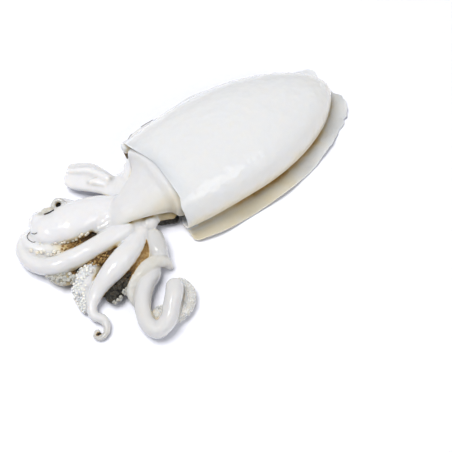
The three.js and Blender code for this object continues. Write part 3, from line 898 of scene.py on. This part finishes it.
def row_places(name, face, start, stop, rows, radius, chance):
    """The arm's stations, and a scattered station number and angle for each sucker on it."""
    flat, *_, route = (ARMS | WEBS)[name]
    stations = stations_of(route, flat, ROUND_END, WALK)
    count = len(stations[0])
    spacing = max(int(SUCKER_SPACING * radius / WALK), 1)
    for row in range(rows):
        row_angle = np.radians(face) + (row - (rows - 1) / 2) * ROW_SPREAD
        shift = spacing // 2 if row % 2 else 0
        for place in range(int(start * count) + shift, int(stop * count), spacing):
            k = min(max(place + round(chance.normal(0, PLACE_SCATTER * spacing)), 0), count - 1)
            angle = row_angle + chance.normal(0, ANGLE_SCATTER)
            yield [values[k] for values in stations], angle


print(len(SUCKER_ROWS), "groups of rows")

# %% Suckers
BEAD = [
    # radius and height, in sucker radii, from the root over the rim to the dimple
    (0.02, -0.9), (0.75, -0.55), (1.0, 0.0), (0.97, 0.4), (0.75, 0.72), (0.45, 0.82), (0.2, 0.7),
    (0.02, 0.66),
]
BEAD_SIDES = 12
SIZE_SCATTER = (0.8, 1.15)
# Suckers shrink with an arm whose half width is less than this.
SLIM_ARM = 4.0
# A sucker that points this nearly along its arm's up direction takes its own sides from the arm's left.
NEARLY_UP = 0.9
# A bead darkens at its root: partly its brown base, partly painted shade where it meets the arm.
ROOT_STAIN_AND_SHADE = 0.08
ROOT_HEIGHTS = (-0.5, 0.2)
SUCKER_SEED = 7


def sucker(centre, outward, across, radius):
    """One bead on its arm."""
    along = np.cross(outward, across)
    turn = np.linspace(0, 2 * np.pi, BEAD_SIDES, endpoint=False)[:, None]
    rim = across * np.cos(turn) + along * np.sin(turn)
    return skin([centre + radius * (wide * rim + high * outward) for wide, high in BEAD])


beads, bead_stains_and_shade, bead_see_through_and_shade = [], [], []
chance = np.random.default_rng(SUCKER_SEED)
for name, face, start, stop, rows, radius, stain_and_shade in SUCKER_ROWS:
    for (centre, left, up, half, tall), angle in row_places(name, face, start, stop, rows, radius, chance):
        surface = centre + left * half * np.cos(angle) + up * tall * np.sin(angle)
        outward = left * np.cos(angle) / half + up * np.sin(angle) / tall
        outward /= np.linalg.norm(outward)
        across = np.cross(outward, up if abs(outward @ up) < NEARLY_UP else left)
        across /= np.linalg.norm(across)
        size = radius * min(1.0, half / SLIM_ARM) * chance.uniform(*SIZE_SCATTER)
        beads.append(sucker(surface, outward, across, size))
        height = (beads[-1][0] - surface) @ outward / size
        bead_stains_and_shade.append(stain_and_shade + ROOT_STAIN_AND_SHADE * (1 - smoothstep(*ROOT_HEIGHTS, height)))
        bead_see_through_and_shade.append(np.full(len(height), SEE_THROUGH_AND_SHADE_GREYS.get(name, 0.0)))
points, faces = joined(beads)
suckers = new_piece("suckers", in_frame(points), faces)
print(len(beads), "suckers")

# %% [markdown]
# ## Shreds of skin and painted shadow lines
# Cleaning leaves a few dark threads of skin at the end of the widest arm. Along the far fin's edge the dark
# lines are partly such threads and partly painted shadow under its lifted rim, and the broader line under the
# fold at the arm's far edge is a painted shadow in its slit. Each is a thin tube. Those on the fin follow the
# rim of its ribbon, and those on the arm are dropped straight down on the flesh.

# %% Shreds of skin and painted shadow lines
# Lines on the far fin's rim: partly threads of skin, partly painted shadow under the lifted rim.
RIM_SHREDS_AND_SHADOW_LINES = [
    # x where it starts and ends
    (16, 28), (34, 47), (56, 65),
]
RIM_STEP = 3
SHRED_WIDTH = 0.55
# The broad line under the fold is a painted shadow in its slit.
FOLD_SHADOW_LINE_WIDTH = 1.1
ARM_SHREDS_AND_SHADOW_LINE = [
    # width, then the places it lies on
    (SHRED_WIDTH, [(-83.5, 15.6), (-87, 14), (-87.6, 10.5), (-86, 6.6), (-84.2, 5.9)]),
    (SHRED_WIDTH, [(-83.6, 13.4), (-82, 10.2), (-80, 9.5)]),
    (FOLD_SHADOW_LINE_WIDTH, [(-69.1, 19.5), (-66, 18.5), (-63, 18.3), (-60.6, 18.4)]),
]
SHRED_STEP = 0.5
SHRED_SIDES = 8
DROP_FROM = 60.0


def shape_tree(piece):
    """The piece's faces, sorted for casting rays."""
    faces = [face.vertices[:] for face in piece.data.polygons]
    return BVHTree.FromPolygons(vertices_of(piece).tolist(), faces)


def drop(tree, x, y):
    """The height of the flesh below a place."""
    hit = tree.ray_cast(Vector(in_frame((x, y, DROP_FROM))), Vector((0, 0, -1)))[0]
    return hit.z / MM


head_tree = shape_tree(head)
fin_rim = fin_rings(1)[::-1][:, FIN_ACROSS]
routes = []
for low, high in RIM_SHREDS_AND_SHADOW_LINES:
    between = (fin_rim[:, 0] > low) & (fin_rim[:, 0] < high)
    routes.append([(*point, SHRED_WIDTH) for point in fin_rim[between][::RIM_STEP]])
for width, places in ARM_SHREDS_AND_SHADOW_LINE:
    routes.append([(x, y, drop(head_tree, x, y), width) for x, y in places])
dark_lines = [sweep(1.0, ROUND_END, route, SHRED_STEP, SHRED_SIDES) for route in routes]
points, faces = joined(dark_lines)
shreds_and_shadow_lines = new_piece("skin_shreds_and_shadow_lines", in_frame(points), faces)
print(len(dark_lines), "shreds of skin")

# %% [markdown]
# ## Colour and painted shade of the flesh
# The flesh is white where it lies open, cream on its low sides and ochre in its creases: partly a real
# stain, where juice gathers, and partly painted shade, where less light reaches and has to pass through
# more flesh. So every vertex gets a number, its stain and painted shade, from how much of the sky above
# it is covered. A few rays from each vertex measure that.

# %% How hidden each corner is
RAY_COUNT = 14
RAY_LENGTH = 22 * MM
RAY_START = 0.6 * MM
HIDDEN_ROUNDS = 3


def even_directions(count):
    """Directions spread evenly over a half ball round +z."""
    k = np.arange(count) + 0.5
    z = np.sqrt(1 - k / count)
    turn = k * np.pi * (1 + 5 ** 0.5)
    flat = np.sqrt(1 - z * z)
    return np.stack([flat * np.cos(turn), flat * np.sin(turn), z], 1)


def hidden_share(piece, trees):
    """How much of the sky above each vertex is covered by flesh close by, 0 to 1."""
    rays = [Vector(ray) for ray in even_directions(RAY_COUNT)]
    shares = []
    for vertex in piece.data.vertices:
        turn = vertex.normal.to_track_quat("Z", "Y").to_matrix()
        start = vertex.co + vertex.normal * RAY_START
        ways = [turn @ ray for ray in rays]
        hits = sum(any(tree.ray_cast(start, way, RAY_LENGTH)[0] for tree in trees) for way in ways)
        shares.append(hits / RAY_COUNT)
    return smoothed(piece, np.array(shares), HIDDEN_ROUNDS)


trees = [shape_tree(mantle), head_tree]
mantle_hidden = hidden_share(mantle, trees)
head_hidden = hidden_share(head, trees)
print("hidden corners up to", mantle_hidden.max().round(2), head_hidden.max().round(2))

# %% [markdown]
# Three numbers are kept for each vertex of the head. Its stain, partly real and partly painted shade, is
# what its web gives it, or cream in a half-hidden fold and ochre in the deepest one, and the funnel is
# painted cream on its near side, a painted warm shade. Its painted grey stands for see-through flesh, and on
# a few parts for the shade they lie in. Its dryness takes the wet shine off the funnel, the webs and the
# suckers.

# %% Stain and painted shade, painted grey and dryness of the head
# Cream in half-hidden folds and ochre in the deepest ones: partly real stain, partly painted shade.
FOLD_CREAM_AND_SHADE = 0.28
FOLD_HIDDEN = (0.25, 0.6)
DEEP_OCHRE_AND_SHADE = 0.45
DEEP_HIDDEN = (0.6, 1.0)
DEEP_BEFORE_X = 5
# Painted warm shade on the funnel's near side, and a painted grey shade over the whole funnel.
FUNNEL_WARM_SHADE = 0.22
FUNNEL_WARM_SHADE_SIDE = (10, 32)
FUNNEL_SHADE_GREY = 0.25
FUNNEL_DRY = 0.85
FAR_CORNER_X = 3
FAR_CORNER_Y = 28
WEB_DRY = 0.7
SUCKER_DRY = 0.8
DARK_LINE_STAIN = 0.86
# How many rounds of averaging soften the border of each.
STAIN_BLUR = 1
GREY_BLUR = 8
DRY_BLUR = 6


def keep_values(piece, name, values):
    """Stores one number per vertex for a material to read."""
    piece.data.attributes.new(name, "FLOAT", "POINT").data.foreach_set("value", np.asarray(values, float))


def in_own_axes(piece):
    """The x, y and z of the piece's vertices in the animal's own axes, in millimetres."""
    return ((vertices_of(piece) - OWN_ORIGIN) / MM).T


x, y, _ = in_own_axes(head)
# Painted shade from the hidden sky: cream in folds and ochre in the deepest, partly real stain too.
cream_and_shade = FOLD_CREAM_AND_SHADE * smoothstep(*FOLD_HIDDEN, head_hidden) * ~on_funnel
cream_and_shade = np.maximum(cream_and_shade, FUNNEL_WARM_SHADE * on_funnel * smoothstep(*FUNNEL_WARM_SHADE_SIDE, -y))
deep = DEEP_OCHRE_AND_SHADE * smoothstep(*DEEP_HIDDEN, head_hidden) * ~on_funnel * (x < DEEP_BEFORE_X)
keep_values(head, "stain_and_shade", np.maximum(smoothed(head, web_stain_and_shade, STAIN_BLUR), cream_and_shade + deep))
# Painted grey for see-through and for shade.
keep_values(head, "see_through_and_shade_grey", smoothed(head, see_through_and_shade_share + FUNNEL_SHADE_GREY * on_funnel, GREY_BLUR))
at_far_corner = (x > FAR_CORNER_X) & (y > FAR_CORNER_Y)
dry = np.maximum(FUNNEL_DRY * (on_funnel | at_far_corner), WEB_DRY * rough)
keep_values(head, "dry", smoothed(head, dry, DRY_BLUR))
keep_values(suckers, "stain_and_shade", np.concatenate(bead_stains_and_shade))
keep_values(suckers, "see_through_and_shade_grey", np.concatenate(bead_see_through_and_shade))
keep_values(suckers, "dry", np.full(len(suckers.data.vertices), SUCKER_DRY))
keep_values(shreds_and_shadow_lines, "stain_and_shade", np.full(len(shreds_and_shadow_lines.data.vertices), DARK_LINE_STAIN))
print("dry vertices of the head:", int((dry > 0.5).sum()), "of", len(dry))

# %% [markdown]
# The mantle is painted cream low on its sides and golden in the crease above the near fin: painted warm
# shade. It is brown in the hole at the far corner of its mouth: painted shade in that hollow over a partly
# real stain. The near fin is painted cream and grey, most of all in front, where it lies in the mantle's
# shade; part of its grey stands for its see-through flesh. The inside of the mouth stays white.

# %% Painted shade, stain and painted grey of the mantle
FIN_TOP = 5
FIN_BLEND = 3
# Painted warm shade: cream low on the sides, gold in the crease above the near fin, cream on the near fin.
SIDE_WARM_SHADE = 0.29
SIDE_WARM_SHADE_Z = (4, 32)
CREASE_WARM_SHADE = 0.46
CREASE_HIDDEN = (0.15, 0.75)
CREASE_X = (20, 70)
CREASE_BEFORE_Y = 20
NEAR_FIN_WARM_SHADE = 0.24
NEAR_FIN_WARM_SHADE_X = (90, 150)
MOUTH_INSIDE = (40, 44)
MOUTH_HIDDEN = 0.3
# Painted shade in the hole at the far corner of the mouth, over a partly real brown stain.
CORNER_HOLE = (11.6, 36.5, 8)
CORNER_HOLE_SPAN = (4.5, 9)
CORNER_HOLE_HIDDEN = 0.2
CORNER_HOLE_SHADE_AND_STAIN = 0.75
# Painted grey: see-through on both fins, and painted shade as well on the front of the near fin.
FAR_FIN_SEE_THROUGH_GREY = 0.1
NEAR_FIN_SEE_THROUGH_AND_SHADE_GREY = 0.8
TAIL_GREY_LOSS = 0.3
TAIL_GREY_X = (60, 140)
FIN_GREY_BLUR = 3

x, y, z = in_own_axes(mantle)
along = np.clip((x - MOUTH_X) / (TAIL_X - MOUTH_X), 0, 1)
beyond = np.maximum(np.abs(y - middle_line(along)) - half_width(along), x - TAIL_X)
above_fin = z - (np.where(y > 0, FIN_FAR_LIFT, 0) + FIN_TOP)
fin_part = smoothstep(-FIN_BLEND, FIN_BLEND, beyond) * (1 - smoothstep(0, FIN_BLEND, above_fin))
inside = (x < MOUTH_INSIDE[0]) * (np.abs(y) < MOUTH_INSIDE[1]) * (mantle_hidden > MOUTH_HIDDEN)
# Painted warm shade, then painted shade in the corner hole.
low_side_shade = SIDE_WARM_SHADE * (1 - smoothstep(*SIDE_WARM_SHADE_Z, z)) * (1 - fin_part)
crease_shade = np.where(y < CREASE_BEFORE_Y, CREASE_WARM_SHADE, 0.0)
crease_shade = crease_shade * smoothstep(*CREASE_HIDDEN, mantle_hidden) * smoothstep(*CREASE_X, x)
near_fin_shade = NEAR_FIN_WARM_SHADE * fin_part * (y < 0) * (1 - smoothstep(*NEAR_FIN_WARM_SHADE_X, x))
painted_warm_shade = np.maximum(np.maximum(low_side_shade, crease_shade), near_fin_shade) * (1 - inside)
to_corner = np.linalg.norm(np.stack([x, y, z], 1) - CORNER_HOLE, axis=1)
corner_hole_shade = (1 - smoothstep(*CORNER_HOLE_SPAN, to_corner)) * (mantle_hidden > CORNER_HOLE_HIDDEN)
keep_values(mantle, "stain_and_shade", np.maximum(painted_warm_shade, CORNER_HOLE_SHADE_AND_STAIN * corner_hole_shade))
# Painted grey of the fins, for see-through and, at the near fin's front, for shade.
near_fin_grey = NEAR_FIN_SEE_THROUGH_AND_SHADE_GREY - TAIL_GREY_LOSS * smoothstep(*TAIL_GREY_X, x)
fin_grey = np.where(y > 0, FAR_FIN_SEE_THROUGH_GREY, near_fin_grey)
keep_values(mantle, "see_through_and_shade_grey", smoothed(mantle, fin_part * fin_grey, FIN_GREY_BLUR))
print("mantle vertices on the fins:", int((fin_part > 0.5).sum()))

# %% [markdown]
# Every material below is a few shader nodes. One small function adds a node, sets its inputs and links
# it. Colours are written as on a screen, in hex, and one function turns them into the linear values that
# the renderer mixes.


# %% Material tools
def colour(text):
    """A linear colour from an sRGB hex text."""
    channels = np.array([int(text[i:i + 2], 16) for i in (1, 3, 5)]) / 255
    linear = np.where(channels <= 0.04045, channels / 12.92, ((channels + 0.055) / 1.055) ** 2.4)
    return (*linear, 1.0)


def add_node(tree, kind, settings, links=None):
    """Adds one shader node with its settings, and links its inputs from other nodes' outputs."""
    node = tree.nodes.new(kind)
    for name, value in settings.items():
        if isinstance(name, int) or name in node.inputs:
            node.inputs[name].default_value = value
        else:
            setattr(node, name, value)
    for name, socket in (links or {}).items():
        tree.links.new(socket, node.inputs[name])
    return node


def set_stops(ramp, stops):
    """Gives a colour ramp its stops, a list of (place, hex colour)."""
    elements = ramp.color_ramp.elements
    while len(elements) < len(stops):
        elements.new(0.5)
    for element, (place, text) in zip(elements, stops):
        element.position = place
        element.color = colour(text)


def new_material(name):
    """An empty node material and its tree."""
    material = bpy.data.materials.new(name)
    material.use_nodes = True
    material.node_tree.nodes.clear()
    return material, material.node_tree


print("material tools ready")

# %% [markdown]
# Raw cuttlefish flesh is a milky gel under a film of water. The gel scatters light a few millimetres deep,
# so shadows are soft and thin edges glow. The film gives small, sharp highlights. A principled shader has
# both: subsurface scattering for the gel and a clear coat for the film. Its colour comes from the stain and
# painted shade kept at each vertex, through a ramp from white over cream and ochre to nearly black, and a
# painted grey for see-through and shade darkens it.

# %% Colour of raw flesh
MOTTLE_SIZE = 11 * MM
MOTTLE_SHIFT = 0.2
GAP_STAIN = 0.16
# Real stains and painted shade share this ramp. Cream and ochre serve both; the cool grey and near-black
# stops are mostly painted shade in gaps, hollows and under the funnel, over partly dark skin.
STAIN_AND_SHADE_RAMP = [
    # stain and painted shade, colour
    (0.12, "#E1DFDB"), (0.3, "#DFD3B8"), (0.44, "#D0B47E"), (0.58, "#9C7B4B"),
    (0.75, "#6E522F"), (0.88, "#55524A"), (1.0, "#201E1A"),
]
# The tint of the painted grey, for see-through and for shade.
SEE_THROUGH_AND_SHADE_TINT = "#D2D2CE"


def flesh_colour(tree, place, kept, gaps, pale):
    """Stains, painted shade and painted see-through grey as colour, mottled, darker between granules."""
    mottle = add_node(tree, "ShaderNodeTexNoise", {"Scale": 1 / MOTTLE_SIZE, "Detail": 3.0},
                      {"Vector": place})
    uneven = add_node(tree, "ShaderNodeMath",
                      {"operation": "MULTIPLY_ADD", 1: MOTTLE_SHIFT, 2: -MOTTLE_SHIFT / 2},
                      {0: mottle.outputs["Fac"]})
    soiled = add_node(tree, "ShaderNodeMath", {"operation": "ADD"}, {0: kept, 1: uneven.outputs[0]})
    stain_and_shade = add_node(tree, "ShaderNodeMath", {"operation": "MULTIPLY_ADD", 1: GAP_STAIN},
                     {0: gaps, 2: soiled.outputs[0]})
    ramp = add_node(tree, "ShaderNodeValToRGB", {}, {"Fac": stain_and_shade.outputs[0]})
    set_stops(ramp, [(0.0, pale)] + STAIN_AND_SHADE_RAMP)
    see_through_and_shade_grey = add_node(tree, "ShaderNodeAttribute", {"attribute_name": "see_through_and_shade_grey"})
    painted_grey_mix = add_node(tree, "ShaderNodeMix",
                      {"data_type": "RGBA", "blend_type": "MULTIPLY", 7: colour(SEE_THROUGH_AND_SHADE_TINT)},
                      {0: see_through_and_shade_grey.outputs["Fac"], 6: ramp.outputs["Color"]})
    return painted_grey_mix.outputs[2]


print(len(STAIN_AND_SHADE_RAMP) + 1, "colours from clean to stained")

# %% [markdown]
# Three reliefs lie on the flesh: the fine grain of the muscle, the slow ripples that break up highlights,
# and the granules of the rough webs. Bump nodes in a chain add them up. The film of water follows the
# ripples alone, because it fills what is finer.

# %% Relief of raw flesh
# Muscle grain is finer than a millimetre, so it is drawn coarser here to show in the picture.
GRAIN_SIZE = 2.4 * MM
GRAIN_DEPTH = 0.4 * MM
GRAIN_STRENGTH = 0.25
RIPPLE_SIZE = 8 * MM
RIPPLE_DEPTH = 0.85 * MM
GRANULE_SIZE = 1.7 * MM
GRANULE_DEPTH = 0.8 * MM


def flesh_relief(tree, place, gaps):
    """The normals of the film of water and of the flesh below it."""
    grain = add_node(tree, "ShaderNodeTexNoise", {"Scale": 1 / GRAIN_SIZE, "Detail": 2.0}, {"Vector": place})
    grained = add_node(tree, "ShaderNodeBump", {"Strength": GRAIN_STRENGTH, "Distance": GRAIN_DEPTH},
                       {"Height": grain.outputs["Fac"]})
    ripple = add_node(tree, "ShaderNodeTexNoise", {"Scale": 1 / RIPPLE_SIZE, "Detail": 1.0},
                      {"Vector": place})
    rippled = add_node(tree, "ShaderNodeBump", {"Distance": RIPPLE_DEPTH},
                       {"Height": ripple.outputs["Fac"], "Normal": grained.outputs["Normal"]})
    pitted = add_node(tree, "ShaderNodeBump", {"Distance": GRANULE_DEPTH, "invert": True},
                      {"Height": gaps, "Normal": rippled.outputs["Normal"]})
    return rippled.outputs["Normal"], pitted.outputs["Normal"]


print("granules of", GRANULE_SIZE / MM, "mm on the webs")

# %% [markdown]
# Now the whole shader. Stained flesh, and flesh with strong painted shade, is rough, and rough or dry flesh
# loses its film and its gloss. Maths nodes work that out at every point from the numbers kept at the
# vertices.

# %% Raw wet flesh
# How fast roughness grows with the stain, and where that line starts.
ROUGH_SLOPE = 2.5
ROUGH_OFFSET = -0.6
FILM_LOSS = 0.9
WET_ROUGHNESS = 0.27
DRY_ROUGHENING = 0.35
FLESH_IOR = 1.38
WATER_IOR = 1.33
WATER_ROUGHNESS = 0.14


def flesh(name, pale, depth, film):
    """Raw wet flesh: pale where it lies open, stained and painted with shade where its vertices say so."""
    material, tree = new_material(name)
    place = add_node(tree, "ShaderNodeNewGeometry", {}).outputs["Position"]
    kept = add_node(tree, "ShaderNodeAttribute", {"attribute_name": "stain_and_shade"}).outputs["Fac"]
    rough = add_node(tree, "ShaderNodeMath",
                     {"operation": "MULTIPLY_ADD", "use_clamp": True, 1: ROUGH_SLOPE, 2: ROUGH_OFFSET},
                     {0: kept}).outputs[0]
    granule = add_node(tree, "ShaderNodeTexVoronoi", {"Scale": 1 / GRANULE_SIZE}, {"Vector": place})
    gaps = add_node(tree, "ShaderNodeMath", {"operation": "MULTIPLY"},
                    {0: granule.outputs["Distance"], 1: rough}).outputs[0]
    film_normal, flesh_normal = flesh_relief(tree, place, gaps)
    dry = add_node(tree, "ShaderNodeAttribute", {"attribute_name": "dry"})
    matt = add_node(tree, "ShaderNodeMath", {"operation": "MAXIMUM"}, {0: rough, 1: dry.outputs["Fac"]})
    wet = add_node(tree, "ShaderNodeMath", {"operation": "MULTIPLY_ADD", 1: -FILM_LOSS * film, 2: film},
                   {0: matt.outputs[0]})
    dull = add_node(tree, "ShaderNodeMath",
                    {"operation": "MULTIPLY_ADD", 1: DRY_ROUGHENING, 2: WET_ROUGHNESS}, {0: matt.outputs[0]})
    shader = add_node(tree, "ShaderNodeBsdfPrincipled", {
        "IOR": FLESH_IOR,
        "Subsurface Weight": 0.9,
        "Subsurface Radius": (1.0, 0.9, 0.76),
        "Subsurface Scale": depth,
        "Coat Roughness": WATER_ROUGHNESS,
        "Coat IOR": WATER_IOR,
    }, {
        "Base Color": flesh_colour(tree, place, kept, gaps, pale),
        "Roughness": dull.outputs[0],
        "Normal": flesh_normal,
        "Coat Weight": wet.outputs[0],
        "Coat Normal": film_normal,
    })
    add_node(tree, "ShaderNodeOutputMaterial", {}, {"Surface": shader.outputs["BSDF"]})
    return material


rough_from = -ROUGH_OFFSET / ROUGH_SLOPE
print("flesh is rough from a stain of", round(rough_from, 2), "to", round(rough_from + 1 / ROUGH_SLOPE, 2))

# %% [markdown]
# The same function gives four fleshes. They differ in their palest colour, in how deep light sinks into
# them and in how much water lies on them.

# %% Flesh on each piece
# Mantle flesh is thick and smooth: an even neutral white with a few broad highlights.
mantle.data.materials.append(flesh("raw mantle flesh", "#DEDEDE", 5 * MM, 1.0))
# Arm flesh is looser: light sinks deeper, so that shadows between the arms stay pale.
head.data.materials.append(flesh("raw arm flesh", "#E1E0E1", 6 * MM, 1.0))
# Sucker flesh is firm and nearly matt: each bead keeps its own small shadow and doesn't glint.
suckers.data.materials.append(flesh("raw sucker flesh", "#E8E6DF", 1.5 * MM, 0.15))
# Dark skin is thin and lets almost no light in: it draws fine grey lines, the threads of skin and the
# painted shadow lines.
shreds_and_shadow_lines.data.materials.append(flesh("dark skin and painted shadow lines", "#8A8480", 0.3 * MM, 0.3))
print("flesh on", mantle.name, head.name, suckers.name, shreds_and_shadow_lines.name)

# %% [markdown]
# ## Floor and light
# The floor is plain white paper. The light is a wide softbox above and behind, which leaves soft shadows
# in front of each arm, and a weaker one in front that opens them. Two small lamps add only their
# reflections, the sharp highlights on wet flesh.

# %% White paper floor
FLOOR_HALF = 3.0
FLOOR_DROP = 0.3 * MM
# Paper fibres are far finer than this, so they are drawn as broad faint clouds.
PAPER_GRAIN = 4 * MM

corners = [(-FLOOR_HALF, -FLOOR_HALF, 0), (FLOOR_HALF, -FLOOR_HALF, 0),
           (FLOOR_HALF, FLOOR_HALF, 0), (-FLOOR_HALF, FLOOR_HALF, 0)]
floor = new_piece("floor", corners, [[0, 1, 2, 3]])
floor.location.z = -FLOOR_DROP
# Uncoated paper is matt: a cool, even white with no reflection of the animal.
paper, tree = new_material("uncoated white paper")
fibres = add_node(tree, "ShaderNodeTexNoise", {"Scale": 1 / PAPER_GRAIN, "Detail": 2.0},
                  {"Vector": add_node(tree, "ShaderNodeNewGeometry", {}).outputs["Position"]})
tone = add_node(tree, "ShaderNodeValToRGB", {}, {"Fac": fibres.outputs["Fac"]})
set_stops(tone, [(0.3, "#F0F1F8"), (0.7, "#F3F3FA")])
matt = add_node(tree, "ShaderNodeBsdfPrincipled", {"Roughness": 0.8}, {"Base Color": tone.outputs["Color"]})
add_node(tree, "ShaderNodeOutputMaterial", {}, {"Surface": matt.outputs["BSDF"]})
floor.data.materials.append(paper)
print("floor at", floor.location.z)

# %% Studio lights
STUDIO_GLOW = 0.24
STUDIO_TINT = "#F2F6FC"


def softbox(name, place, size, power, mirrored):
    """A square area light that looks at the animal. It is either seen mirrored in the flesh or lights it."""
    light = bpy.data.lights.new(name, "AREA")
    light.size = size
    light.energy = power
    lamp = bpy.data.objects.new(name, light)
    lamp.location = place
    lamp.rotation_euler = Vector(place).to_track_quat("Z", "Y").to_euler()
    lamp.visible_diffuse = not mirrored
    lamp.visible_glossy = mirrored
    bpy.context.collection.objects.link(lamp)


softbox("overhead softbox", (-0.42, 0.5, 1.9), size=1.2, power=40.5, mirrored=False)
softbox("front fill", (0.5, -1.72, 0.9), size=1.4, power=16.5, mirrored=False)
softbox("front lamp", (0.22, -0.46, 0.9), size=0.38, power=1.3, mirrored=True)
softbox("left lamp", (-0.35, 0.05, 0.95), size=0.16, power=2.8, mirrored=True)
world = bpy.data.worlds.new("studio")
world.use_nodes = True
world.node_tree.nodes["Background"].inputs["Color"].default_value = colour(STUDIO_TINT)
world.node_tree.nodes["Background"].inputs["Strength"].default_value = STUDIO_GLOW
bpy.context.scene.world = world
bpy.context.scene.view_settings.view_transform = "Standard"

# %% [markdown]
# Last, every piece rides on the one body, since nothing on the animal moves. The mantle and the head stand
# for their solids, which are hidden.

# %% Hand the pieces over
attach(mantle, "root")
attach(head, "root")
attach(suckers, "root")
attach(shreds_and_shadow_lines, "root")
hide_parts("mantle")
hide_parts("head_with_arms")
